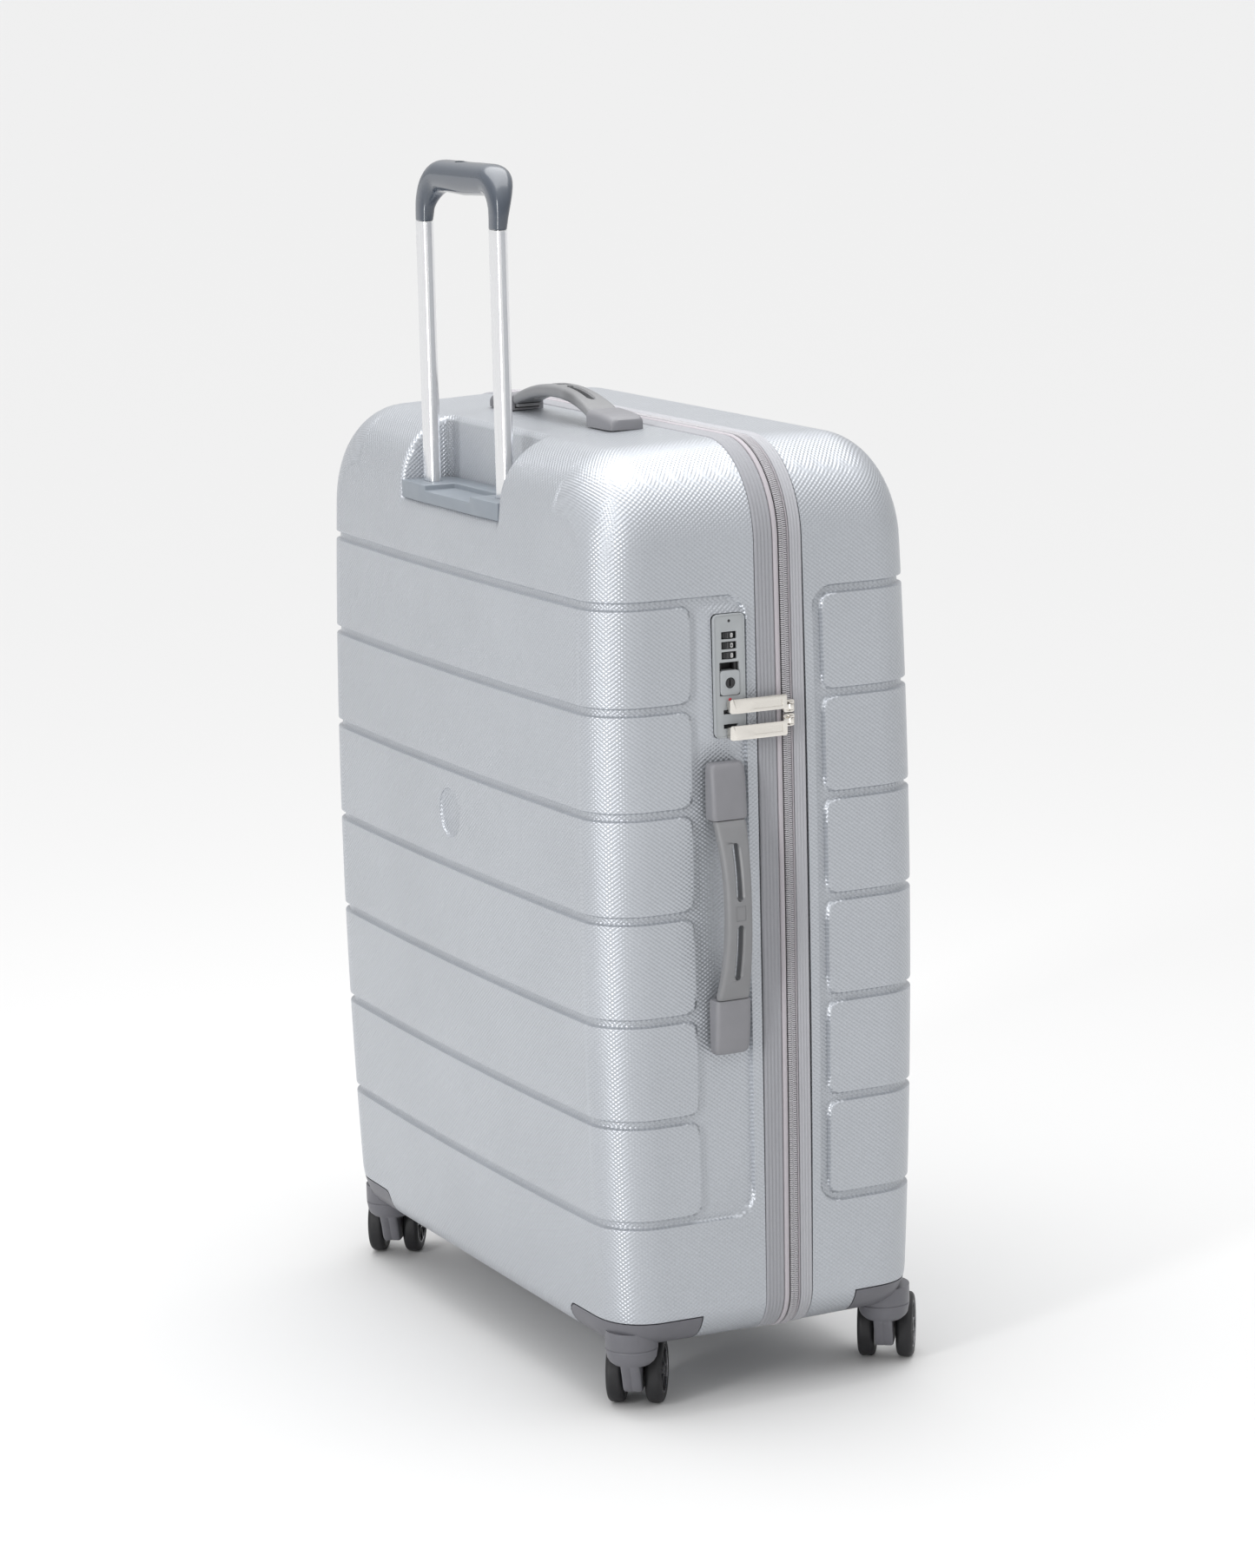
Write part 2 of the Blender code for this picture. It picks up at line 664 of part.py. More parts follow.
def make_handle(prefix, axis, ends, grip_look, block_look):
    matrix = placed(axis)
    inner_end = HANDLE_HALF - BLOCK_LENGTH
    for end, side in ends:
        pair = sorted((side * inner_end, side * HANDLE_HALF))
        block = link(f"{prefix}_{end}", moved(box(
            (pair[0], -BLOCK_WIDTH / 2, 0.0), (pair[1], BLOCK_WIDTH / 2, BLOCK_HEIGHT),
            bevel=0.004, segments=2), matrix), block_look)
        room = sorted((side * (inner_end - 0.01), side * (inner_end + 0.0295)))
        subtract(block, moved(box((room[0], -0.0108, 0.0015), (room[1], 0.0108, 0.0118)), matrix))
    arch = inner_end - 0.0005
    steps = 8
    rings = []
    for i in range(steps + 1):
        part = -1 + 2 * i / steps
        half, low, high = handle_profile(part)
        s = arch * part
        rings.append([
            (s, -half, low), (s, half, low), (s, half, high - 0.002), (s, half - 0.002, high),
            (s, -half + 0.002, high), (s, -half, high - 0.002),
        ])
    pivot = matrix @ Vector((0, 0, 0))
    grip = link(f"{prefix}_grip", moved(loft(rings), matrix), grip_look)
    for side in (-1, 1):
        pair = sorted((side * (arch - 0.004), side * (arch + TONGUE)))
        add(grip, moved(box(
            (pair[0], -TONGUE_HALF, TONGUE_HEIGHT[0]),
            (pair[1], TONGUE_HALF, TONGUE_HEIGHT[1])), matrix))
        pair = sorted((side * 0.004, side * 0.050))
        subtract(grip, moved(box((pair[0], -0.0019, -0.01), (pair[1], 0.0019, 0.04)), matrix))
    move_origin(grip, pivot)


# ---------------------------------------------------------------- lock and zip
def make_lock(shell_look, dark, metal):
    inner_x = LOCK_FACE_X - PLATE
    recess_top = SLIDER_Z[1] + SLIDER_TRAVEL + SLIDER_ROOM
    make_lock_plate(shell_look, inner_x, recess_top)
    make_lock_body(dark, inner_x, recess_top)
    rim = DIAL_RADIUS
    bore = SPINDLE_RADIUS + GAP
    for i, z in enumerate(DIAL_Z):
        low, high = z - DIAL_HALF, z + DIAL_HALF
        link(f"dial_{i + 1}", turned_ring(
            (DIAL_X, LOCK_Y, 0), (0, 0, 1),
            ((bore, low), (rim, low), (rim, high), (bore, high)), 20), dark, (DIAL_X, LOCK_Y, z))
    make_lock_slider(shell_look, metal, inner_x)


def make_lock_plate(look, inner_x, recess_top):
    half = LOCK_WIDTH / 2
    plate = link("lock_plate", box(
        (inner_x, LOCK_Y - half, LOCK_Z[0]), (LOCK_FACE_X, LOCK_Y + half, LOCK_Z[1]),
        bevel=0.0038, axis=0, segments=2), look)
    through = (inner_x - 0.005, LOCK_FACE_X + 0.01)
    dial_window = DIAL_RADIUS + DIAL_ROOM
    for z in DIAL_Z:
        subtract(plate, box(
            (through[0], LOCK_Y - dial_window, z - DIAL_HALF - GAP),
            (through[1], LOCK_Y + dial_window, z + DIAL_HALF + GAP)))
    subtract(plate, box(
        (through[0], LOCK_Y - SLIDER_HALF - GAP, SLIDER_Z[0] - GAP),
        (through[1], LOCK_Y + SLIDER_HALF + GAP, recess_top)))
    for z in PULL_SLOT_Z:
        subtract(plate, box(
            (through[0], LOCK_Y - 0.0055, z - PULL_SLOT_HALF),
            (through[1], LOCK_Y + 0.0065, z + PULL_SLOT_HALF)))


def make_lock_body(look, inner_x, recess_top):
    """The case behind the plate, with the dials' spindle across its window."""
    inset = 0.003
    half = LOCK_WIDTH / 2 - 0.0025
    body = link("lock_body", box(
        (LOCK_BACK_X, LOCK_Y - half, LOCK_Z[0] + inset),
        (inner_x - GAP, LOCK_Y + half, LOCK_Z[1] - inset),
        bevel=0.002, axis=0, segments=1), look)
    front = LOCK_FACE_X + 0.01
    dial_window = DIAL_RADIUS + DIAL_ROOM
    subtract(body, box(
        (DIAL_X - dial_window, LOCK_Y - dial_window, DIAL_Z[2] - DIAL_HALF - GAP),
        (front, LOCK_Y + dial_window, DIAL_Z[0] + DIAL_HALF + GAP)))
    subtract(body, box(
        (STALK_X - 0.001, LOCK_Y - STALK_HALF - 0.0005, SLIDER_Z[0] - GAP),
        (front, LOCK_Y + STALK_HALF + 0.0005, recess_top)))
    reach = DIAL_HALF + 0.001
    add(body, prism(
        (DIAL_X, LOCK_Y, 0), (0, 0, 1),
        ((SPINDLE_RADIUS, DIAL_Z[2] - reach), (SPINDLE_RADIUS, DIAL_Z[0] + reach)), 8))


def make_lock_slider(look, metal, inner_x):
    """The sliding block that frees the zip pulls, and the key cylinder in it."""
    pivot = (LOCK_FACE_X, LOCK_Y, KEY_Z)
    slider = link("lock_slider", box(
        (inner_x, LOCK_Y - SLIDER_HALF, SLIDER_Z[0]),
        (LOCK_FACE_X + SLIDER_PROUD, LOCK_Y + SLIDER_HALF, SLIDER_Z[1]),
        bevel=0.0022, axis=0, segments=2), look)
    add(slider, box(
        (STALK_X, LOCK_Y - STALK_HALF, SLIDER_Z[0]),
        (inner_x + 0.001, LOCK_Y + STALK_HALF, SLIDER_Z[1])))
    bore = KEY_RADIUS + GAP
    subtract(slider, prism(
        (KEY_BACK_X, LOCK_Y, KEY_Z), (1, 0, 0), ((bore, 0), (bore, 0.02)), 20))
    move_origin(slider, pivot)
    length = LOCK_FACE_X + SLIDER_PROUD / 2 - KEY_BACK_X
    cylinder = link("key_cylinder", prism(
        (KEY_BACK_X, LOCK_Y, KEY_Z), (1, 0, 0),
        ((KEY_RADIUS, GAP), (KEY_RADIUS, length)), 20), metal)
    subtract(cylinder, box(
        (LOCK_FACE_X - KEYHOLE[2], LOCK_Y - KEYHOLE[0], KEY_Z - KEYHOLE[1]),
        (LOCK_FACE_X + 0.01, LOCK_Y + KEYHOLE[0], KEY_Z + KEYHOLE[1])))
    move_origin(cylinder, pivot)


def turned_ring(center, direction, loop, sides, phase=0.0):
    """A turned solid with a hole: loop is a closed list of (radius, height) pairs."""
    turn = Vector((0, 0, 1)).rotation_difference(Vector(direction)).to_matrix()
    rings = []
    for radius, height in loop:
        ring = []
        for i in range(sides):
            angle = phase + 2 * PI * i / sides
            local = Vector((radius * math.cos(angle), radius * math.sin(angle), height))
            ring.append(Vector(center) + turn @ local)
        rings.append(ring)
    return loft(rings, closed=True)


def make_zip_slider(name, z, look):
    """The slider on the zip chain, with two lugs and the pin that carries its pull."""
    pivot = (ZIP_PULL_X, CHAIN_Y, z)
    half_y, half_z = ZIP_SLIDER_HALF
    slider = link(name, box(
        (ZIP_SLIDER_X[0], CHAIN_Y - half_y, z - half_z),
        (ZIP_SLIDER_X[1], CHAIN_Y + half_y, z + half_z),
        bevel=0.0015, axis=0, segments=2), look)
    for side in (-1, 1):
        pair = sorted((z + side * LUG_Z[0], z + side * LUG_Z[1]))
        add(slider, box(
            (ZIP_SLIDER_X[1] - 0.0008, CHAIN_Y - LUG_HALF, pair[0]),
            (ZIP_PULL_X + LUG_HALF, CHAIN_Y + LUG_HALF, pair[1])))
    add(slider, prism(
        (ZIP_PULL_X, CHAIN_Y, z), (0, 0, 1), ((PIN_RADIUS, -0.0030), (PIN_RADIUS, 0.0030)), 10))
    move_origin(slider, pivot)


def make_zip_pull(name, z, center_z, look):
    """A flat pull with an open window, hinged on the slider's upright pin."""
    bore, rim = PULL_RING
    high = LUG_Z[0] - GAP
    pull = link(name, turned_ring(
        (ZIP_PULL_X, CHAIN_Y, z), (0, 0, 1),
        ((bore, -high), (rim, -high), (rim, high), (bore, high)), 14), look)
    start = CHAIN_Y - PULL_START
    thin = PULL_THICKNESS / 2
    half = PULL_WIDTH / 2
    add(pull, box(
        (ZIP_PULL_X - thin, start - 0.003, z - high + 0.0002),
        (ZIP_PULL_X + thin, CHAIN_Y - bore - 0.0003, z + high - 0.0002)))
    add(pull, box(
        (ZIP_PULL_X - thin, PULL_TIP_Y, center_z - half), (ZIP_PULL_X + thin, start, center_z + half),
        bevel=0.0012, axis=0, segments=1))
    toward = 1 if center_z > z else -1
    window = sorted((center_z - toward * 0.0030, center_z + toward * 0.0022))
    subtract(pull, box(
        (ZIP_PULL_X - 0.01, -0.026, window[0]), (ZIP_PULL_X + 0.01, start - 0.0042, window[1])))
    add(pull, box(
        (ZIP_PULL_X - PULL_TOOTH, PULL_TIP_Y, center_z - half + 0.001),
        (ZIP_PULL_X - thin + 0.0004, PULL_TIP_Y + 0.0022, center_z + half - 0.001)))
    move_origin(pull, (ZIP_PULL_X, CHAIN_Y, z))


# ---------------------------------------------------------------- casters
def make_caster(tag, side, end, looks, lid_pivot):
    plastic, metal, rubber = looks
    axis_y = AXIS_BACK_Y if end < 0 else AXIS_FRONT_Y
    axis = (side * AXIS_X, axis_y)
    solid = back_solid if end < 0 else front_solid
    rim, depth = (-BACK_RIM, BACK_DEPTH) if end < 0 else (FRONT_RIM, FRONT_DEPTH)
    housing = link(f"caster_housing_{tag}", solid(rim, depth, 0.0), plastic)
    keep(housing, caster_corner(side, end, 0.0))
    add(housing, prism(
        (*axis, 0), (0, 0, 1), ((CUP_RADIUS, CUP_TOP), (CUP_RADIUS, NECK_TOP)), 28))
    subtract(housing, solid(rim - 0.01, depth, 0.0044))
    add(housing, prism(
        (*axis, 0), (0, 0, 1), ((BEARING_RADIUS, CUP_TOP + 0.001), (BEARING_RADIUS, BEARING_TOP)), 20))
    subtract(housing, prism(
        (*axis, 0), (0, 0, 1), ((STEM_RADIUS + GAP, 0.03), (STEM_RADIUS + GAP, STEM_TOP + 0.002)), 16))
    subtract(housing, box(
        (axis[0] - 0.03, axis[1] - 0.03, 0.04), (axis[0] + 0.03, axis[1] + 0.03, CUP_TOP + GAP)))
    if end > 0:
        move_origin(housing, lid_pivot)
    trail = Vector((math.cos(TRAIL_ANGLE), math.sin(TRAIL_ANGLE), 0))
    across = Vector((math.sin(TRAIL_ANGLE), -math.cos(TRAIL_ANGLE), 0))
    drop = WHEEL_RADIUS * math.cos(PI / WHEEL_SIDES)
    axle_at = Vector((*axis, drop)) + trail * TRAIL
    make_fork(tag, axis, trail, across, axle_at, plastic)
    link(f"caster_axle_{tag}", prism(
        axle_at, across, ((AXLE_RADIUS, -AXLE_HALF), (AXLE_RADIUS, AXLE_HALF)), 12), metal, (*axis, 0))
    turn = Vector((0, 0, 1)).rotation_difference(across).to_matrix()
    down = turn.transposed() @ Vector((0, 0, -1))
    phase = math.atan2(down.y, down.x) + PI / WHEEL_SIDES
    for name, way in (("a", -1), ("b", 1)):
        near, far = way * WHEEL_INNER, way * (WHEEL_INNER + WHEEL_WIDTH)
        bevel = way * 0.0022
        loop = (
            (AXLE_RADIUS + GAP, near), (WHEEL_RADIUS - 0.0028, near), (WHEEL_RADIUS, near + bevel),
            (WHEEL_RADIUS, far - bevel), (WHEEL_RADIUS - 0.0028, far), (AXLE_RADIUS + GAP, far),
        )
        link(f"wheel_{tag}_{name}", turned_ring(
            axle_at, across, loop, WHEEL_SIDES, phase), rubber, axle_at)


def make_fork(tag, axis, trail, across, axle_at, look):
    """The swivelling fork: a round cup over a leg that stands between the wheels."""
    fork = link(f"caster_fork_{tag}", prism(
        (*axis, 0), (0, 0, 1), ((CUP_RADIUS - 0.001, CUP_BOTTOM), (CUP_RADIUS, CUP_TOP)), 28), look)
    rings = []
    for shift in (-FORK_HALF, FORK_HALF):
        rings.append([
            Vector((*axis, z)) + trail * t + across * shift for t, z in FORK_OUTLINE
        ])
    add(fork, loft(rings))
    for way in (-1, 1):
        near, far = way * (WHEEL_INNER - 0.0006), way * 0.030
        subtract(fork, prism(
            axle_at, across, ((WHEEL_RADIUS + 0.0012, near), (WHEEL_RADIUS + 0.0012, far)), 24))
    subtract(fork, prism(
        axle_at, across, ((AXLE_RADIUS + GAP, -0.02), (AXLE_RADIUS + GAP, 0.02)), 12))
    add(fork, prism(
        (*axis, 0), (0, 0, 1), ((STEM_RADIUS, CUP_TOP - 0.002), (STEM_RADIUS, STEM_TOP)), 16))
    move_origin(fork, (*axis, 0))


# ---------------------------------------------------------------- the whole case
def main():
    clear_scene()
    root = bpy.data.objects.new("suitcase", None)
    bpy.context.scene.collection.objects.link(root)
    root.location = (*SHIFT, 0.0)

    shell = material("shell_silver", (0.62, 0.63, 0.65), 0.34, 0.35)
    plate = material("lock_silver", (0.52, 0.53, 0.54), 0.38, 0.2)
    grey = material("grey_plastic", (0.24, 0.24, 0.26), 0.5)
    gloss = material("gloss_grey", (0.10, 0.12, 0.15), 0.2)
    fabric = material("zip_fabric", (0.36, 0.35, 0.38), 0.85)
    lining = material("lining_fabric", (0.12, 0.13, 0.15), 0.9)
    web = material("strap_web", (0.05, 0.05, 0.06), 0.9)
    aluminium = material("tube_aluminium", (0.80, 0.81, 0.83), 0.28, 1.0)
    steel = material("zinc", (0.75, 0.73, 0.70), 0.25, 1.0)
    dark = material("dark_plastic", (0.03, 0.03, 0.035), 0.5)
    rubber = material("wheel_rubber", (0.03, 0.03, 0.033), 0.6)

    lid_pivot = (HINGE_X, CHAIN_Y, 0.0)
    trolley_pivot = (0.0, TUBE_Y, 0.0)
    make_back_shell(shell)
    make_front_shell(shell, lid_pivot)
    make_back_lining(lining)
    make_front_lining(lining, lid_pivot)
    make_zip_tape("back_zip_tape", BACK_RIM + GAP, CHAIN_Y - GAP / 2, fabric)
    make_zip_tape("front_zip_tape", CHAIN_Y + GAP / 2, FRONT_RIM - GAP, fabric, lid_pivot)
    make_interior(lining, web, dark, lid_pivot)
    make_tray(grey)
    make_guides(aluminium, dark)
    make_trolley(aluminium, gloss, dark, trolley_pivot)
    make_release(steel, gloss, trolley_pivot)
    make_handle("top_handle", "top", (("end_left", -1), ("end_right", 1)), grey, grey)
    make_handle("side_handle", "side", (("end_lower", -1), ("end_upper", 1)), grey, grey)
    make_lock(plate, dark, steel)
    pulls = (("upper", ZIP_SLIDER_Z[0], ZIP_PULL_Z[0]), ("lower", ZIP_SLIDER_Z[1], ZIP_PULL_Z[1]))
    for tag, z, center_z in pulls:
        make_zip_slider(f"zip_slider_{tag}", z, steel)
        make_zip_pull(f"zip_pull_{tag}", z, center_z, steel)
    looks = (grey, steel, rubber)
    corners = (
        ("back_left", -1, -1), ("back_right", 1, -1), ("front_left", -1, 1), ("front_right", 1, 1))
    for tag, side, end in corners:
        make_caster(tag, side, end, looks, lid_pivot)


main()
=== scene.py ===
"""Looks of the hard shell suitcase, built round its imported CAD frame."""
import json
import math

import bmesh
import bpy
import numpy as np
from mathutils import Matrix, Vector

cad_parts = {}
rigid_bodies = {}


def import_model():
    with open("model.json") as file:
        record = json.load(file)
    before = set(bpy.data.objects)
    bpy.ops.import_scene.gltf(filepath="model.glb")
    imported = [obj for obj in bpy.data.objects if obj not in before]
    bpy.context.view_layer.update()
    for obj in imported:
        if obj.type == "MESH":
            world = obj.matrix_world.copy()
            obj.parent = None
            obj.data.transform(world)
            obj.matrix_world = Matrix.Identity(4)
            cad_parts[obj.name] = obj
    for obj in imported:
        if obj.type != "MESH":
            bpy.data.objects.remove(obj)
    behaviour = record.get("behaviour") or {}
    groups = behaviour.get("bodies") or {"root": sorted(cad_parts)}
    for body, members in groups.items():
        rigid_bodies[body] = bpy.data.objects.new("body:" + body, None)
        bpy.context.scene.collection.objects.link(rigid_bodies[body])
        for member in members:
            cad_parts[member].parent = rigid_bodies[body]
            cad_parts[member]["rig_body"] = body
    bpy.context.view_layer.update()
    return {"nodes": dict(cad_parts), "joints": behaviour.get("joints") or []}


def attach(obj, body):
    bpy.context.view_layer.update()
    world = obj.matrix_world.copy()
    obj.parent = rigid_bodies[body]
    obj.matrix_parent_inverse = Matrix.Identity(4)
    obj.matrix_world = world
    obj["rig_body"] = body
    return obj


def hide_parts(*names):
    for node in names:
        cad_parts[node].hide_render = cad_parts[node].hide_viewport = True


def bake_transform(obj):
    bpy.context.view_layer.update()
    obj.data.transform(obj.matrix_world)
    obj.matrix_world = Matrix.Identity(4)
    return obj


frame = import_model()
PI = math.pi

# ---------------------------------------------------------------- the part's driving dimensions
GAP = 0.0003
HALF_WIDTH = 0.2665
TOP = 0.746
BOTTOM = 0.053
MIDDLE = (TOP + BOTTOM) / 2
HALF_HEIGHT = (TOP - BOTTOM) / 2
CORNER_TOP = 0.072
CORNER_BOTTOM = 0.034
SIDE_CROWN = 0.0037
PANEL_CROWN_Z = 0.0087
PANEL_CROWN_X = 0.0045
EDGE_SIDE = 0.038
EDGE_TOP = 0.045
EDGE_BOTTOM = 0.022
SHELL = 0.0026
INNER_SKIN = 0.0052          # depth of the inner surface, below the pressed ribs
HINGE_X = -0.2722
CHAIN_Y = 0.0055
NOTCH_HALF = 0.0915
NOTCH_WALL_Y = -0.104
NOTCH_FLOOR = 0.6797
NOTCH_RADIUS = 0.010
TUBE_X = 0.069
TUBE_Y = -0.130
TUBE = (0.018, 0.0095)
TUBE_ROOM = 0.0012           # round a tube where it enters the case
TUBE_TOP = 0.9007
TUBE_BOTTOM = 0.4495
GRIP_TOP = 0.9496
GRIP_LEG = (0.0092, 0.0056)
GRIP_BAR = (0.0119, 0.0129)
GRIP_BEND = 0.027
GRIP_SHIFT = 0.0078
GRIP_SAG = 0.0024
GRIP_GROWTH = 0.0475
BUTTON_Y = TUBE_Y + GRIP_SHIFT
HANDLE_HALF = 0.1125
BLOCK_LENGTH = 0.043
BLOCK_HEIGHT = 0.013
HANDLE_RISE = 0.026
TOP_HANDLE_Y = -0.0445
SIDE_HANDLE_Y = -0.0495
TOP_HANDLE_Z = 0.7451
SIDE_HANDLE_X = 0.2692
SIDE_HANDLE_Z = 0.3980
LOCK_Y = -0.0425
LOCK_Z = (0.528, 0.6217)
LOCK_WIDTH = 0.0262
LOCK_FACE_X = 0.2702
DIAL_X = 0.2648
DIAL_RADIUS = 0.006
DIAL_HALF = 0.0025
DIAL_Z = (0.6055, 0.5979, 0.5903)
KEY_Z = 0.5696
ZIP_PULL_Z = (0.5523, 0.5320)
ZIP_PULL_X = 0.2767
AXIS_X = 0.2323
AXIS_Y = {-1: -0.119, 1: 0.104}
TRAIL = 0.028
TRAIL_ANGLE = math.radians(146)
WHEEL_RADIUS = 0.026
WHEEL_WIDTH = 0.0135
WHEEL_INNER = 0.0085
AXLE_Z = 0.02568
CUP_RADIUS = 0.0205
CUP_TOP = 0.0535
CUP_BOTTOM = 0.044
NECK_TOP = 0.068
STEM_BORE = 0.0043
STEM = 0.0040
HOUSING_TOP = 0.077
HOUSING_X = 0.176
HOUSING_Y = {-1: -0.073, 1: 0.062}
HOUSING_WALL = 0.0044
HOUSING_GAP = 0.0011         # between a housing and the shell cut out round it
LINING_FLOOR = 0.1205
LINING_OFFSET = 0.0064
LINING = 0.0014

# the two shells: rim distance, depth, wall taper and the y direction that each faces
BACK = {"rim": 0.0188, "depth": 0.1418, "draft": 0.0325, "sign": -1, "field": 0.0272, "pillow": 0.0700}
LID = {"rim": 0.0215, "depth": 0.1198, "draft": 0.0235, "sign": 1, "field": 0.0292, "pillow": 0.0364}

# relief pressed into the shells
GROOVE_TOP = 0.6355          # upper lip of the highest groove
GROOVE_PITCH = 0.0793
GROOVES = 7
GROOVE_HALF = 0.0031
RELIEF = 0.0034
LIP = 0.0014                 # width over which a lip falls
LOCK_SEAT = 0.0030           # swelling of the shell up to the lock's plate
DIMPLE_Z = 0.437
DIMPLE_RADIUS = 0.020
NOTCH_ROLL = 0.005           # rounding of the trolley recess's edge

HINGE_AT = next(j for j in frame["joints"] if j["name"] == "lid_hinge")["pos_m"]
SHIFT = Vector((HINGE_AT[0] - HINGE_X, HINGE_AT[1] - CHAIN_Y, 0.0))
HOLLOW = (0.008, 0.010)      # where the inner hollows of the back shell and the lid start


# ---------------------------------------------------------------- material nodes
class Look:
    """A Principled material with short calls for its texture nodes."""

    def __init__(self, name, color, roughness, metallic=0.0, **sockets):
        self.material = bpy.data.materials.new(name)
        self.material.use_nodes = True
        self.tree = self.material.node_tree
        self.shader = self.tree.nodes["Principled BSDF"]
        self.color = color
        self.shader.inputs["Base Color"].default_value = (*color, 1.0)
        self.shader.inputs["Roughness"].default_value = roughness
        self.shader.inputs["Metallic"].default_value = metallic
        for key, value in sockets.items():
            self.shader.inputs[key.replace("_", " ")].default_value = value
        self.place = self.node("ShaderNodeTexCoord").outputs["Object"]

    def node(self, kind, **settings):
        made = self.tree.nodes.new(kind)
        for key, value in settings.items():
            setattr(made, key, value)
        return made

    def link(self, out, socket):
        self.tree.links.new(out, socket)

    def math(self, operation, a, b=0.0):
        made = self.node("ShaderNodeMath", operation=operation)
        for socket, value in zip(made.inputs, (a, b)):
            if isinstance(value, (int, float)):
                socket.default_value = value
            else:
                self.link(value, socket)
        return made.outputs[0]

    def stretch(self, scale):
        made = self.node("ShaderNodeMapping")
        made.inputs["Scale"].default_value = scale
        self.link(self.place, made.inputs["Vector"])
        return made.outputs[0]

    def noise(self, scale, detail=3.0, place=None):
        made = self.node("ShaderNodeTexNoise")
        made.inputs["Scale"].default_value = scale
        made.inputs["Detail"].default_value = detail
        self.link(place or self.place, made.inputs["Vector"])
        return made.outputs["Fac"]

    def wave(self, scale, direction, distortion):
        made = self.node("ShaderNodeTexWave", bands_direction=direction)
        made.inputs["Scale"].default_value = scale
        made.inputs["Distortion"].default_value = distortion
        self.link(self.place, made.inputs["Vector"])
        return made.outputs["Fac"]

    def span(self, value, low, high, start=0.3, end=0.7):
        made = self.node("ShaderNodeMapRange")
        self.link(value, made.inputs["Value"])
        for key, number in zip(("From Min", "From Max", "To Min", "To Max"), (start, end, low, high)):
            made.inputs[key].default_value = number
        return made.outputs["Result"]

    def tint(self, factor, dark, light):
        """Base colour between two multiples of the material's own colour."""
        made = self.node("ShaderNodeMix", data_type="RGBA")
        self.link(factor, made.inputs["Factor"])
        made.inputs["A"].default_value = (*(min(c * dark, 1.0) for c in self.color), 1.0)
        made.inputs["B"].default_value = (*(min(c * light, 1.0) for c in self.color), 1.0)
        self.link(made.outputs["Result"], self.shader.inputs["Base Color"])

    def rough(self, factor, low, high):
        self.link(self.span(factor, low, high), self.shader.inputs["Roughness"])

    def bump(self, height, strength, distance):
        made = self.node("ShaderNodeBump")
        made.inputs["Strength"].default_value = strength
        made.inputs["Distance"].default_value = distance
        self.link(height, made.inputs["Height"])
        before = self.shader.inputs["Normal"].links
        if before:
            self.link(before[0].from_socket, made.inputs["Normal"])
        self.link(made.outputs["Normal"], self.shader.inputs["Normal"])


def shell_look():
    """Satin metallic plastic with a fine diamond emboss laid along the shell's own surface; the emboss also
    darkens the colour in its hollows as painted shade.
    """
    look = Look("shell_silver", (0.465, 0.487, 0.522), 0.29, 0.48, Coat_Weight=0.12, Coat_Roughness=0.3)
    turn = 2 * PI
    pitch_across, pitch_up = 4.2e-3, 3.3e-3
    heights = []
    for name in ("emboss_side", "emboss_top"):
        parts = look.node("ShaderNodeSeparateXYZ")
        look.link(look.node("ShaderNodeUVMap", uv_map=name).outputs["UV"], parts.inputs[0])
        u = look.math("MULTIPLY", parts.outputs["X"], turn / pitch_across)
        v = look.math("MULTIPLY", parts.outputs["Y"], turn / pitch_up)
        one = look.math("COSINE", look.math("ADD", u, v))
        two = look.math("COSINE", look.math("SUBTRACT", u, v))
        heights.append(look.math("ADD", one, two))
    facing = look.node("ShaderNodeSeparateXYZ")
    look.link(look.node("ShaderNodeNewGeometry").outputs["Normal"], facing.inputs[0])
    upward = look.span(look.math("ABSOLUTE", facing.outputs["Z"]), 0.0, 1.0, 0.55, 0.85)
    mix = look.node("ShaderNodeMix")
    look.link(upward, mix.inputs["Factor"])
    look.link(heights[0], mix.inputs["A"])
    look.link(heights[1], mix.inputs["B"])
    emboss = mix.outputs["Result"]
    cloud = look.noise(9.0, 4.0)
    speckle = look.noise(900.0, 1.0)
    # colour follows the emboss, darker in its hollows: painted shade; the speckle and the cloud are random
    # tone
    emboss_shade_and_speckle = look.math("ADD", look.math("MULTIPLY", emboss, 0.12), look.math("MULTIPLY", speckle, 0.10))
    look.tint(look.math("ADD", emboss_shade_and_speckle, look.math("MULTIPLY", cloud, 0.60)), 0.86, 1.10)
    look.rough(look.noise(5.0, 2.0), 0.305, 0.325)
    look.bump(emboss, 0.50, 0.00023)
    return look.material


def moulded_look(name, color, roughness, grain=1400.0, **sockets):
    """Plain moulded plastic: fine spark-eroded grain and a little unevenness in gloss."""
    look = Look(name, color, roughness, **sockets)
    look.tint(look.noise(60.0, 4.0), 0.93, 1.07)
    look.rough(look.noise(35.0, 4.0), roughness * 0.88, roughness * 1.14)
    look.bump(look.noise(grain, 2.0), 0.22, 0.00012)
    return look.material


def metal_look(name, color, roughness, grain):
    """Metal with fine lines along the grain scale's short direction."""
    look = Look(name, color, roughness, 1.0)
    lines = look.noise(1.0, 3.0, look.stretch(grain))
    look.tint(lines, 0.93, 1.05)
    look.rough(lines, roughness * 0.75, roughness * 1.3)
    look.bump(lines, 0.12, 0.00006)
    return look.material


def fabric_look(name, color, pitch, depth=0.0002, contrast=(0.78, 1.15)):
    """Woven cloth: two crossing sets of threads with uneven yarn."""
    look = Look(name, color, 0.88, Sheen_Weight=0.25, Sheen_Roughness=0.5)
    scale = 1.0 / (pitch * 3.14)
    warp = look.wave(scale, "DIAGONAL", 0.3)
    weft = look.wave(scale * 0.94, "Z", 0.3)
    weave = look.math("MAXIMUM", warp, weft)
    yarn = look.noise(420.0, 3.0)
    look.tint(look.math("MULTIPLY", weave, look.math("ADD", yarn, 0.45)), *contrast)
    look.rough(yarn, 0.82, 0.95)
    look.bump(weave, 0.5, depth)
    look.bump(yarn, 0.25, depth)
    return look.material


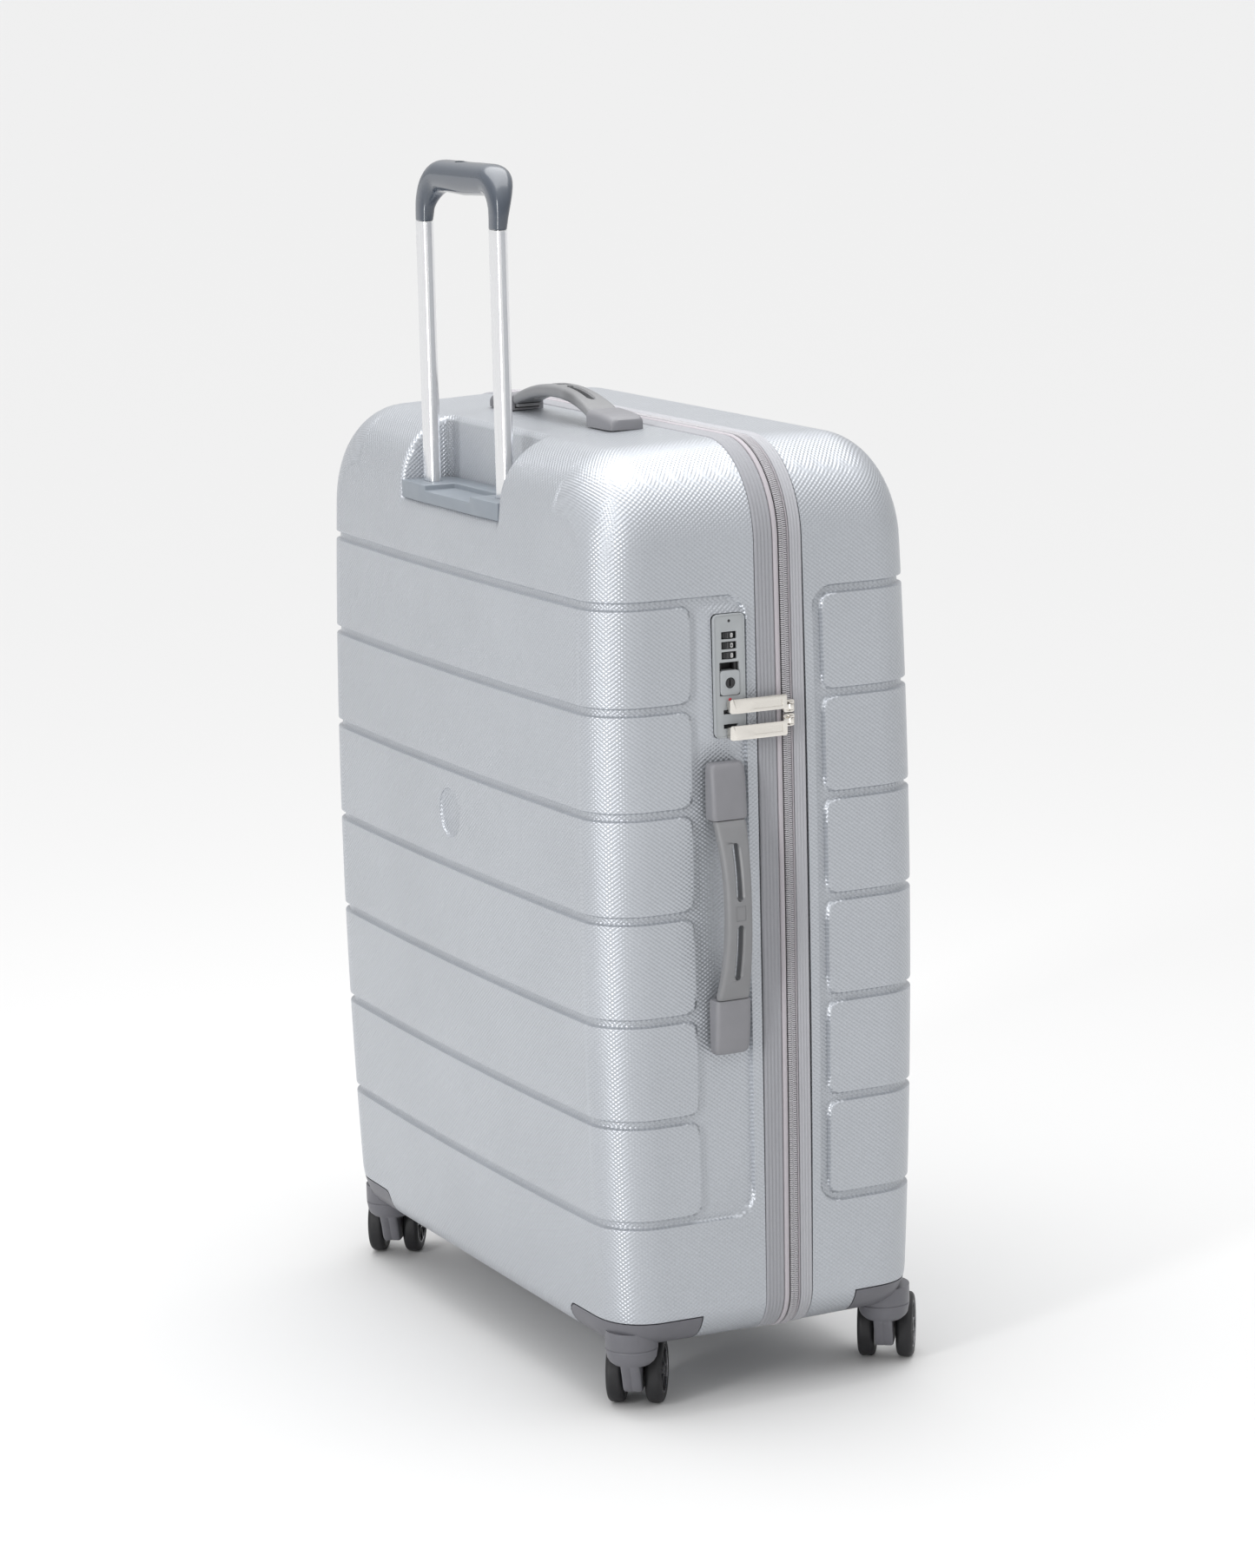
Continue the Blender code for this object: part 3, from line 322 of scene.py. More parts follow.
def tyre_look():
    look = Look("wheel_rubber", (0.008, 0.008, 0.0095), 0.55)
    look.tint(look.noise(140.0, 4.0), 0.7, 1.6)
    look.rough(look.noise(60.0, 3.0), 0.45, 0.68)
    look.bump(look.noise(900.0, 2.0), 0.3, 0.00015)
    return look.material


SHELL_LOOK = shell_look()
GREY = moulded_look("grey_plastic", (0.205, 0.205, 0.22), 0.46)
GREY_LIGHT = moulded_look("grey_plastic_handle", (0.198, 0.200, 0.207), 0.44)
CASTER_GREY = moulded_look("grey_plastic_caster", (0.125, 0.125, 0.140), 0.42)
LOCK_GREY = moulded_look("lock_plastic", (0.345, 0.362, 0.374), 0.36)
FIGURE = moulded_look("dial_figure", (0.70, 0.70, 0.70), 0.4)
TRAY_GREY = moulded_look("tray_plastic", (0.20, 0.225, 0.255), 0.40)
GLOSS = moulded_look("gloss_grey", (0.050, 0.062, 0.082), 0.22, 1400.0, Coat_Weight=0.7, Coat_Roughness=0.12)
DARK = moulded_look("dark_plastic", (0.020, 0.020, 0.022), 0.45)
HUB = moulded_look("hub_plastic", (0.016, 0.016, 0.019), 0.34)
RED = moulded_look("red_dot", (0.50, 0.03, 0.05), 0.4)
ALUMINIUM = metal_look("aluminium", (0.90, 0.905, 0.92), 0.24, (1800.0, 1800.0, 14.0))
# thin grey strips on the tubes' narrow sides: painted shade at their edges
TUBE_EDGE_SHADE = moulded_look("tube_edge_shade", (0.40, 0.41, 0.43), 0.42)
NICKEL = metal_look("nickel", (0.78, 0.75, 0.70), 0.22, (300.0, 60.0, 900.0))
STEEL = metal_look("steel", (0.60, 0.60, 0.61), 0.30, (500.0, 500.0, 500.0))
RING = metal_look("hub_ring", (0.35, 0.35, 0.37), 0.25, (300.0, 300.0, 300.0))
ZIP_BAND = fabric_look("zip_band", (0.285, 0.288, 0.31), 0.00045, 0.00012, (0.86, 1.10))
ZIP_BAND_FRONT = fabric_look("zip_band_front", (0.365, 0.368, 0.392), 0.00045, 0.00012, (0.86, 1.10))
CHAIN_TAPE = fabric_look("zip_chain_tape", (0.09, 0.085, 0.09), 0.00045, 0.00012, (0.8, 1.15))
PIPING = fabric_look("zip_piping", (0.40, 0.375, 0.40), 0.0006, 0.00015, (0.88, 1.1))
TEETH = moulded_look("zip_teeth", (0.40, 0.39, 0.41), 0.26, 2500.0)
# near-black strips laid in the zip's gaps: painted shade
ZIP_GAP_SHADE = moulded_look("zip_shadow", (0.035, 0.035, 0.04), 0.8)
LINING_LOOK = fabric_look("lining", (0.105, 0.115, 0.135), 0.0012)
WEBBING = fabric_look("webbing", (0.035, 0.035, 0.04), 0.0010, 0.0003)
TYRE = tyre_look()


# ---------------------------------------------------------------- pieces
def show(name, shape, body, look, replaced=(), angle=35.0):
    """Puts a shape given in case coordinates on a body of the frame."""
    mesh = to_mesh(shape)
    mesh.transform(Matrix.Translation(SHIFT))
    mesh.name = name
    made = bpy.data.objects.new(name, mesh)
    bpy.context.scene.collection.objects.link(made)
    if not mesh.materials:
        mesh.materials.append(look)
    mesh.shade_smooth()
    if angle:
        mesh.set_sharp_from_angle(angle=math.radians(angle))
    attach(made, body)
    if replaced:
        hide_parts(*replaced)
    return made


def to_mesh(bm):
    """A mesh from a bmesh, which it frees; a finished mesh comes back as it is."""
    if isinstance(bm, bpy.types.Mesh):
        return bm
    bmesh.ops.recalc_face_normals(bm, faces=bm.faces)
    mesh = bpy.data.meshes.new("piece")
    bm.to_mesh(mesh)
    bm.free()
    return mesh


def boolean(shape, cutter, operation="DIFFERENCE"):
    """One exact Boolean between two shapes in case coordinates; returns the result."""
    target = bpy.data.objects.new("target", to_mesh(shape))
    other = bpy.data.objects.new("cutter", to_mesh(cutter))
    for item in (target, other):
        bpy.context.scene.collection.objects.link(item)
    modifier = target.modifiers.new("cut", "BOOLEAN")
    modifier.operation = operation
    modifier.solver = "EXACT"
    modifier.object = other
    graph = bpy.context.evaluated_depsgraph_get()
    graph.update()
    result = bpy.data.meshes.new_from_object(target.evaluated_get(graph))
    for item in (target, other):
        bpy.data.objects.remove(item, do_unlink=True)
    return result


def solid(points, faces):
    """A bmesh from a list of points and lists of their numbers."""
    bm = bmesh.new()
    made = [bm.verts.new(point) for point in points]
    for face in faces:
        bm.faces.new([made[i] for i in face])
    return bm


def arc(center, radii, start, steps, turn=PI / 2):
    """Points along part of an ellipse, a quarter of it if not told otherwise."""
    return [
        (center[0] + radii[0] * math.cos(start + turn * i / steps),
         center[1] + radii[1] * math.sin(start + turn * i / steps)) for i in range(steps + 1)]


def loft(rings, closed=False):
    """A skin over rings of points: capped at both ends, or closed into a loop."""
    bm = bmesh.new()
    made = [[bm.verts.new(point) for point in ring] for ring in rings]
    pairs = list(zip(made, made[1:]))
    if closed:
        pairs.append((made[-1], made[0]))
    for first, second in pairs:
        count = len(first)
        for i in range(count):
            j = (i + 1) % count
            bm.faces.new((first[i], first[j], second[j], second[i]))
    if not closed:
        bm.faces.new(made[0])
        bm.faces.new(made[-1])
    return bm


def box(low, high, bevel=0.0, axis=2, segments=4, round_all=0.0):
    """A box with its edges along one axis rounded, and then all its edges softened."""
    bm = bmesh.new()
    bmesh.ops.create_cube(bm, size=1.0)
    for vert in bm.verts:
        for k in range(3):
            vert.co[k] = low[k] if vert.co[k] < 0 else high[k]
    if bevel > 0:
        along = [e for e in bm.edges if abs(e.verts[0].co[axis] - e.verts[1].co[axis]) > 1e-6]
        bmesh.ops.bevel(
            bm, geom=along, offset=bevel, segments=segments, affect="EDGES", profile=0.5)
    if round_all > 0:
        soften(bm, round_all)
    return bm


def soften(bm, width):
    """Rounds every edge that turns by more than 30 degrees."""
    bm.normal_update()
    sharp = [e for e in bm.edges if e.is_manifold and e.calc_face_angle(0.0) > math.radians(30.0)]
    bmesh.ops.bevel(
        bm, geom=sharp, offset=width, segments=3, affect="EDGES", profile=0.5, clamp_overlap=True)


def turned(center, direction, profile, sides=48, ring=False):
    """A turned solid from (radius, height) pairs; a ring's profile is a closed loop."""
    turn = Vector((0, 0, 1)).rotation_difference(Vector(direction)).to_matrix()
    rings = []
    for radius, height in profile:
        rings.append([
            Vector(center) + turn @ Vector((
                radius * math.cos(2 * PI * i / sides), radius * math.sin(2 * PI * i / sides), height))
            for i in range(sides)
        ])
    return loft(rings, closed=ring)


def rounded_rectangle(half, radius, steps):
    """Points of a rounded rectangle about the origin."""
    points = []
    for k, (sx, sy) in enumerate(((1, 1), (-1, 1), (-1, -1), (1, -1))):
        center = (sx * (half[0] - radius), sy * (half[1] - radius))
        points += arc(center, (radius, radius), PI / 2 * k, steps)
    return points


def refined(node, width):
    """A CAD node's shape with its flat faces rejoined and its edges rounded."""
    source = frame["nodes"][node].data
    bm = solid([v.co - SHIFT for v in source.vertices], [p.vertices for p in source.polygons])
    bmesh.ops.remove_doubles(bm, verts=bm.verts, dist=1e-6)
    bmesh.ops.dissolve_limit(bm, angle_limit=math.radians(0.5), verts=bm.verts, edges=bm.edges)
    soften(bm, width)
    return bm


def body_of(node):
    """Name of the body that a CAD node rides on."""
    return frame["nodes"][node]["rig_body"]


def show_refined(node, look, width, angle=40.0):
    return show(node + "_look", to_mesh(refined(node, width)), body_of(node), look, (node,), angle)


def repaint(node, look):
    """A carried-over CAD node gets a new material."""
    mesh = frame["nodes"][node].data
    mesh.materials.clear()
    mesh.materials.append(look)


def sheet(rows, thickness):
    """A sheet of one thickness over rows of points."""
    bm = bmesh.new()
    made = [[bm.verts.new(point) for point in row] for row in rows]
    for a, b in zip(made, made[1:]):
        for i in range(len(a) - 1):
            bm.faces.new((a[i], a[i + 1], b[i + 1], b[i]))
    bmesh.ops.solidify(bm, geom=bm.faces[:], thickness=thickness)
    return bm


# ---------------------------------------------------------------- shell surface
def edge_round(distance, depth, radius):
    """How far a wall has turned in at a distance from the zip plane."""
    into = distance - (depth - radius)
    return 0.0 if into <= 0 else radius - math.sqrt(max(radius * radius - into * into, 0.0))


def crown(z):
    """Bow of the walls over the height: 0 at both ends, 1 in the middle."""
    return np.maximum(1 - ((z - MIDDLE) / HALF_HEIGHT) ** 2, 0.0)


def smooth(value):
    """A soft step from 0 to 1."""
    value = np.clip(value, 0.0, 1.0)
    return value * value * (3 - 2 * value)


def stations(fine):
    """Heights of the side rows: close together at the grooves, wide apart between them."""
    low, high = 0.0945, 0.6575
    if not fine:
        return [low, 0.16, 0.24, 0.32, 0.40, 0.48, 0.56, high]
    rows = set(np.round(np.arange(low, high, 0.0065), 5))
    for i in range(GROOVES):
        center = GROOVE_TOP - GROOVE_PITCH * i - GROOVE_HALF
        rows = {z for z in rows if abs(z - center) > 0.0075}
        rows |= set(np.round(center + np.arange(-0.0068, 0.0069, 0.0008), 5))
    return sorted(rows) + [high]


def columns(fine):
    """Base x positions of the panel columns and the top run, without the ends."""
    if not fine:
        return [-0.19, -0.12, -0.06, 0.0, 0.06, 0.12, 0.19]
    marks = set(np.round(np.arange(-0.216, 0.2161, 0.006), 5))
    for side in (-1, 1):
        lip = side * (NOTCH_HALF + 0.003)
        marks = {x for x in marks if abs(x - lip) > 0.0055}
        marks |= set(np.round(lip + np.arange(-0.0045, 0.0046, 0.001), 5))
    return sorted(marks)


COLUMN_EDGE = 0.2239
COLUMN_FIXED = 0.12          # inside this the columns stand upright


def spread(base, edge):
    """Moves a column's base x so that the last ones meet an outline's edge."""
    over = max(abs(base) - COLUMN_FIXED, 0.0) / (COLUMN_EDGE - COLUMN_FIXED)
    return math.copysign(min(abs(base), COLUMN_FIXED) + over * (edge - COLUMN_FIXED), base)


def stops(shell, rim, fine):
    """Distances from the zip plane at which the surface has a ring."""
    depth = shell["depth"]
    start = depth - EDGE_TOP
    if not fine:
        return [rim, start] + [depth - EDGE_TOP * (1 - math.sin(PI / 2 * i / 14)) for i in range(1, 15)]
    line = set(np.round(np.arange(rim + 0.003, start, 0.0045), 5))
    for mark in (shell["field"], shell["pillow"]):
        line = {d for d in line if abs(d - mark) > 0.004}
        line |= set(np.round(mark + np.arange(-0.0035, 0.0036, 0.0007), 5))
    line = {d for d in line if rim < d < start}
    bend = [depth - EDGE_TOP * (1 - math.sin(PI / 2 * i / 22)) for i in range(23)]
    return [rim] + sorted(line) + bend


def outline(distance, depth, draft, skin, rows, marks, steps):
    """Closed outline at a depth as (x, z, share of half width), from the bottom right corner up."""
    turned_side = edge_round(distance, depth, EDGE_SIDE)
    side = HALF_WIDTH - draft * distance - turned_side - skin
    top = TOP - draft * distance - edge_round(distance, depth, EDGE_TOP) - skin
    bottom = BOTTOM + edge_round(distance, depth, EDGE_BOTTOM) + skin
    radius_top = CORNER_TOP - 0.9 * turned_side - skin
    radius_bottom = CORNER_BOTTOM - 0.4 * turned_side - skin
    right = []
    right += arc((side - radius_bottom, bottom + radius_bottom), (radius_bottom,) * 2, -PI / 2, steps)
    right += [(side, z) for z in rows]
    right += arc((side - radius_top, top - radius_top), (radius_top,) * 2, 0.0, steps)
    right = [(x, z, 1.0) for x, z in right]
    top_run = []
    for base in reversed(marks):
        x = spread(base, side - radius_top)
        top_run.append((x, top, x / (side - radius_top)))
    bottom_run = []
    for base in marks:
        x = spread(base, side - radius_bottom)
        bottom_run.append((x, bottom, x / (side - radius_bottom)))
    left = [(-x, z, -q) for x, z, q in reversed(right)]
    return right + top_run + left + bottom_run


def surface(shell, rim, skin, fine):
    """The closed outer skin of one half of the case, with arrays that describe each vertex."""
    depth, draft, sign = shell["depth"], shell["draft"], shell["sign"]
    rows, marks = stations(fine), columns(fine)
    steps = 14 if fine else 10
    half = len(rows) + 2 * (steps + 1)
    levels = stops(shell, rim, fine)
    verts, deep, along, share = [], [], [], []
    travelled = 0.0
    previous = None

    def place(x, z, q, distance):
        rise = crown(z)
        bow = PANEL_CROWN_Z * rise + PANEL_CROWN_X * (1 - q * q) * min(3 * rise, 1.0)
        reach = distance + distance / depth * (bow - skin)
        return (x + math.copysign(SIDE_CROWN * rise * min(abs(q) * 4, 1.0), x), sign * reach, z)

    for distance in levels:
        wall = (distance, edge_round(distance, depth, EDGE_SIDE))
        if previous:
            travelled += math.dist(wall, previous)
        previous = wall
        for x, z, q in outline(distance, depth, draft, skin, rows, marks, steps):
            verts.append(place(x, z, q, distance))
            deep.append(distance)
            share.append(q)
            along.append(travelled)
    count = half * 2 + len(marks) * 2
    faces = []
    for k in range(len(levels) - 1):
        base = k * count
        for i in range(count):
            j = (i + 1) % count
            faces.append((base + i, base + j, base + count + j, base + count + i))
    last = (len(levels) - 1) * count
    ring = outline(levels[-1], depth, draft, skin, rows, marks, steps)
    grid = []
    for i in range(half):
        right, left = last + i, last + 2 * half + len(marks) - 1 - i
        if i == 0:
            inner = [last + count - len(marks) + k for k in range(len(marks))]
        elif i == half - 1:
            inner = [last + half + len(marks) - 1 - k for k in range(len(marks))]
        else:
            edge, z = ring[i][0], ring[i][1]
            inner = []
            for base in marks:
                x = spread(base, edge)
                inner.append(len(verts))
                verts.append(place(x, z, x / edge, depth))
                deep.append(depth + 0.05)
                share.append(x / edge)
                along.append(travelled)
        grid.append([left] + inner + [right])
    for lower, upper in zip(grid, grid[1:]):
        for a, b, c, d in zip(lower, lower[1:], upper[1:], upper):
            faces.append((a, b, c, d))
    first_left = 2 * half + len(marks) - 1
    for i in range(half - 1):
        faces.append((i, i + 1, first_left - i - 1, first_left - i))
    faces.append(tuple([half - 1] + [half + k for k in range(len(marks))] + [half + len(marks)]))
    faces.append(tuple([first_left] + [count - len(marks) + k for k in range(len(marks))] + [0]))
    return to_mesh(solid(verts, faces)), np.array(deep), np.array(share), np.array(along)


def rounded_distance(u, v, half_u, half_v, radius):
    """Signed distance to a rounded rectangle about the origin, negative inside."""
    qu, qv = np.abs(u) - (half_u - radius), np.abs(v) - (half_v - radius)
    outside = np.hypot(np.maximum(qu, 0), np.maximum(qv, 0))
    return outside + np.minimum(np.maximum(qu, qv), 0) - radius


def relief(shell, deep, x, z):
    """How far the pressed ribs lie below the surface."""
    reach = 1.0
    low = GROOVE_TOP - GROOVE_PITCH * (GROOVES - 1) - 2 * GROOVE_HALF
    field = rounded_distance(
        deep - shell["field"] - reach, z - (GROOVE_TOP + low) / 2, reach,
        (GROOVE_TOP - low) / 2, 0.017)
    sunk = smooth(0.5 - field / LIP)
    raised = np.zeros_like(sunk)
    for i in range(GROOVES - 1):
        high = GROOVE_TOP - GROOVE_PITCH * i - 2 * GROOVE_HALF
        foot = GROOVE_TOP - GROOVE_PITCH * (i + 1)
        pillow = rounded_distance(
            deep - shell["pillow"] - reach, z - (high + foot) / 2, reach, (high - foot) / 2, 0.008)
        raised = np.maximum(raised, smooth(0.5 - pillow / LIP))
    depth = RELIEF * sunk * (1 - raised)
    if shell is BACK:
        near = rounded_distance(
            deep + LOCK_Y, z - (LOCK_Z[0] + LOCK_Z[1]) / 2, LOCK_WIDTH / 2,
            (LOCK_Z[1] - LOCK_Z[0]) / 2, 0.0038)
        depth = depth - LOCK_SEAT * smooth(1 - near / 0.010) * (x > 0.2)
    return depth


def notch_roll(x, y, z):
    """How far the trolley recess's edge is rounded away."""
    gap = rounded_distance(x, y + 0.25 - (0.25 + NOTCH_WALL_Y) / 2, NOTCH_HALF,
                           (0.25 + NOTCH_WALL_Y) / 2, NOTCH_RADIUS)
    into = np.clip(NOTCH_ROLL - gap, 0.0, NOTCH_ROLL)
    fall = NOTCH_ROLL - np.sqrt(NOTCH_ROLL ** 2 - into ** 2)
    return fall * smooth((z - NOTCH_FLOOR + 0.004) / 0.006)


def set_uv(mesh, name, values):
    layer = mesh.uv_layers.new(name=name)
    index = np.empty(len(mesh.loops), np.int32)
    mesh.loops.foreach_get("vertex_index", index)
    layer.data.foreach_set("uv", values[index].astype(np.float32).ravel())


def coordinates(mesh):
    co = np.empty(len(mesh.vertices) * 3)
    mesh.vertices.foreach_get("co", co)
    return co.reshape(-1, 3)


def plain_uv(shape):
    """A shape's mesh with emboss coordinates for a recess's walls."""
    mesh = to_mesh(shape)
    co = coordinates(mesh)
    set_uv(mesh, "emboss_side", np.column_stack((co[:, 0] + co[:, 1], co[:, 2])))
    set_uv(mesh, "emboss_top", co[:, :2])
    return mesh


def embossed(shell):
    """The outer skin with its relief and the coordinates of its emboss."""
    mesh, deep, share, along = surface(shell, shell["rim"], 0.0, True)
    co = coordinates(mesh)
    normals = np.empty_like(co).ravel()
    mesh.vertices.foreach_get("normal", normals)
    normals = normals.reshape(-1, 3)
    down = relief(shell, deep, co[:, 0], co[:, 2])
    if shell is BACK:
        down = down + notch_roll(co[:, 0], co[:, 1], co[:, 2])
    down[deep <= shell["rim"] + 1e-6] = 0.0
    end = along.max()
    half = np.abs(co[:, 0])
    across = np.where(
        deep > shell["depth"] - 1e-6, end + COLUMN_EDGE - half,
        np.where(np.abs(share) >= 0.999, along, end + COLUMN_EDGE - half))
    across = np.where(co[:, 0] > 0, across, 2 * (end + COLUMN_EDGE) - across)
    moved = co - normals * down[:, None]
    mesh.vertices.foreach_set("co", moved.ravel())
    set_uv(mesh, "emboss_side", np.column_stack((across, co[:, 2])))
    set_uv(mesh, "emboss_top", np.column_stack((co[:, 0], along)))
    return mesh


def notch(grow):
    """The trolley recess, as a solid."""
    half = NOTCH_HALF + grow
    return box(
        (-half, -0.25, NOTCH_FLOOR - grow), (half, NOTCH_WALL_Y + grow, TOP + 0.05),
        bevel=NOTCH_RADIUS + grow, segments=8)


def caster_corner(side, sign, grow):
    """The bottom corner that a caster's housing takes up."""
    x_pair = sorted((side * (HOUSING_X - grow), side * 0.32))
    y_pair = sorted((HOUSING_Y[sign] - sign * grow, sign * 0.20))
    return box(
        (x_pair[0], y_pair[0], 0.02), (x_pair[1], y_pair[1], HOUSING_TOP + grow),
        bevel=0.008, axis=1, segments=6)


def dimple():
    """A shallow round dish in the middle of the back panel."""
    wall = -(BACK["depth"] + PANEL_CROWN_Z * float(crown(DIMPLE_Z)) + PANEL_CROWN_X)
    return turned((0.0, wall, DIMPLE_Z), (0, -1, 0), (
        (0.001, -0.0036), (0.0100, -0.0033), (0.0165, -0.0025), (0.0188, -0.0018), (0.0196, -0.0008),
        (DIMPLE_RADIUS, 0.0006), (DIMPLE_RADIUS + 0.001, 0.006)), 96)


def carve(mesh, shape):
    """Cuts a recess whose walls carry the emboss on."""
    return boolean(mesh, plain_uv(shape))


def make_shell(name, shell, hollow_rim, body, node):
    """One embossed half of the case, hollow, with its recesses cut in."""
    mesh = embossed(shell)
    hollow = surface(shell, hollow_rim, INNER_SKIN, False)[0]
    if shell is BACK:
        mesh = carve(mesh, notch(0.0))
        mesh = carve(mesh, dimple())
        hollow = boolean(hollow, notch(SHELL))
    mesh = carve(mesh, hollow)
    for side in (-1, 1):
        mesh = carve(mesh, caster_corner(side, shell["sign"], HOUSING_GAP))
    if shell is BACK:
        half = LOCK_WIDTH / 2 + GAP
        mesh = carve(mesh, box(
            (0.25, LOCK_Y - half, LOCK_Z[0] - GAP), (0.30, LOCK_Y + half, LOCK_Z[1] + GAP),
            bevel=0.004, axis=0))
        room = (TUBE[0] / 2 + TUBE_ROOM, TUBE[1] / 2 + TUBE_ROOM)
        for x in (-TUBE_X, TUBE_X):
            mesh = carve(mesh, box(
                (x - room[0], TUBE_Y - room[1], NOTCH_FLOOR - 0.02),
                (x + room[0], TUBE_Y + room[1], NOTCH_FLOOR + 0.02)))
    show(name, mesh, body, SHELL_LOOK, (node,), 50.0)


# ---------------------------------------------------------------- zip
def band_path(count_arc=16):
    """The zip's line round the case: (x, z) points with outward directions."""
    points = []
    marks = [-0.18, -0.12, -0.06, 0.0, 0.06, 0.12, 0.18]
    rows = list(np.linspace(0.0945, 0.668, 24))
    for x, z, q in outline(0.0, BACK["depth"], 0.0, 0.0, rows, marks, count_arc):
        points.append(Vector((x + math.copysign(SIDE_CROWN * float(crown(z)) * min(abs(q) * 4, 1), x), z)))
    outward = []
    for i in range(len(points)):
        step = points[(i + 1) % len(points)] - points[i - 1]
        outward.append(Vector((step.y, -step.x)).normalized())
    return points, outward


def swept_band(profile):
    """Sweeps an (outward, y) section right round the case."""
    points, outward = band_path()
    rings = []
    for offset, y in profile:
        rings.append([(p.x + n.x * offset, y, p.y + n.y * offset) for p, n in zip(points, outward)])
    return loft(rings, closed=True)


def ribbed_profile(low, high, thickness, ribs, depth):
    """Section of a zip tape with fine ribs along it."""
    steps = ribs * 8
    outer = []
    for i in range(steps + 1):
        part = i / steps
        wave = 0.5 + 0.5 * math.cos(2 * PI * ribs * part)
        edge = min(part, 1 - part) * (high - low)
        round_off = -0.0005 * max(1 - edge / 0.0008, 0.0) ** 2
        outer.append((0.0004 - depth * wave + round_off, low + (high - low) * part))
    return outer + [(-thickness, high), (-thickness, low)]


def bead_profile(low, high, rise):
    """Section of a rounded cord."""
    points = []
    for i in range(13):
        angle = PI * i / 12
        points.append((
            -0.0004 + rise * math.sin(angle), (low + high) / 2 - (high - low) / 2 * math.cos(angle)))
    return points + [(-0.0012, high), (-0.0012, low)]


def flat_profile(low, high, sunk):
    """Section of a plain strip lying below the zip's line."""
    return (-sunk, low), (-sunk, high), (-0.0024, high), (-0.0024, low)


def make_band(name, pieces, body, node):
    """One half of the zip, from (tag, section, look) strips that lie side by side."""
    shown = None
    for tag, profile, look in pieces:
        made = show(f"{name}_{tag}", swept_band(profile), body, look, (), 45.0)
        shown = shown or made
    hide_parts(node)


def tooth_mesh(side, body, name):
    """One row of moulded teeth on the chain, on every side but the hinge side."""
    points = band_path(30)[0]
    pitch = 0.0016
    walked, verts, faces = 0.0, [], []
    lows = (-0.00055, -0.0004)
    for i, point in enumerate(points):
        after = points[(i + 1) % len(points)]
        length = (after - point).length
        direction = (after - point).normalized()
        normal = Vector((direction.y, -direction.x))
        while walked < length:
            at = point + direction * walked
            walked += pitch
            if at.x < -0.262 and 0.10 < at.y < 0.655:
                continue
            at = at + direction * (pitch / 2 if side > 0 else 0.0)
            base = len(verts)
            inner, outer = -side * 0.0004, side * 0.0034
            for y, rise, half in (
                    (inner, 0.0006, 0.0004), (side * 0.0012, 0.0011, 0.00062),
                    (side * 0.0025, 0.0011, 0.00058), (outer, 0.0002, 0.00050)):
                for along, up in ((-half, lows[0]), (half, lows[0]), (half, rise * 0.6),
                                  (half * 0.5, rise), (-half * 0.5, rise), (-half, rise * 0.6)):
                    spot = at + direction * along + normal * up
                    verts.append((spot.x, CHAIN_Y + y, spot.y))
            for k in range(3):
                for m in range(6):
                    n = (m + 1) % 6
                    faces.append((
                        base + 6 * k + m, base + 6 * k + n, base + 6 * k + 6 + n, base + 6 * k + 6 + m))
            faces.append(tuple(base + m for m in range(6)))
            faces.append(tuple(base + 18 + m for m in range(6)))
        walked -= length
    show(name, solid(verts, faces), body, TEETH, (), 60.0)


def make_zip():
    low, high = GAP - BACK["rim"], LID["rim"] - GAP
    make_band("back_zip", (
        ("tape", ribbed_profile(low, -0.0033, 0.0024, 5, 0.00045), ZIP_BAND),
        # the seam and groove strips are painted shade in the gaps beside the piping
        ("seam", flat_profile(-0.0034, -0.0028, 0.0013), ZIP_GAP_SHADE),
        ("piping", bead_profile(-0.0029, 0.0011, 0.0014), PIPING),
        ("groove", flat_profile(0.0010, 0.0019, 0.0014), ZIP_GAP_SHADE),
        ("edge", flat_profile(0.0018, CHAIN_Y - 0.0002, 0.0009), CHAIN_TAPE),
    ), "case", "back_zip_tape")
    make_band("front_zip", (
        ("edge", flat_profile(CHAIN_Y + 0.0002, 0.0093, 0.0009), CHAIN_TAPE),
        ("lip", bead_profile(0.0092, 0.0104, 0.0008), PIPING),
        # the seam strip is painted shade in the gap beside the lip
        ("seam", flat_profile(0.0103, 0.0112, 0.0014), ZIP_GAP_SHADE),
        ("tape", ribbed_profile(0.0111, high, 0.0024, 4, 0.00040), ZIP_BAND_FRONT),
    ), "lid", "front_zip_tape")
    tooth_mesh(-1, "case", "teeth_back")
    tooth_mesh(1, "lid", "teeth_front")
    points = [-0.0160 + 0.0345 * i / 24 for i in range(25)]
    rows = []
    for k in range(41):
        z = 0.092 + (0.662 - 0.092) * k / 40
        side = HALF_WIDTH + SIDE_CROWN * float(crown(z))
        rows.append([(-(side + 0.0012), y, z) for y in points])
    gusset = show("hinge_gusset", sheet(rows, 0.0006), "case", ZIP_BAND, (), 45.0)
    world = gusset.matrix_world.copy()
    gusset.parent = None
    gusset.matrix_world = world
    del gusset["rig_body"]
    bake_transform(gusset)


# ---------------------------------------------------------------- pull handle
def grip_path(steps=18):
    """Centre line of the grip as (x, z, angle, growth from leg to bar)."""
    bar_z = GRIP_TOP - GRIP_BAR[0]
    start = bar_z - GRIP_BEND
    low = TUBE_TOP + GAP
    path = [(-TUBE_X, low, PI / 2, 0.0), (-TUBE_X, low + 0.0007, PI / 2, 0.0)]
    for i in range(steps + 1):
        angle = PI / 2 * i / steps
        length = start - low + GRIP_BEND * angle
        path.append((
            -TUBE_X + GRIP_BEND - GRIP_BEND * math.cos(angle), start + GRIP_BEND * math.sin(angle),
            PI / 2 - angle, float(smooth(length / GRIP_GROWTH))))
    for x in (-0.036, -0.028, -0.020, -0.010):
        path.append((x, bar_z, 0.0, 1.0))
    right = [(-x, z, -angle, growth) for x, z, angle, growth in reversed(path)]
    return path + [(0.0, bar_z, 0.0, 1.0)] + right


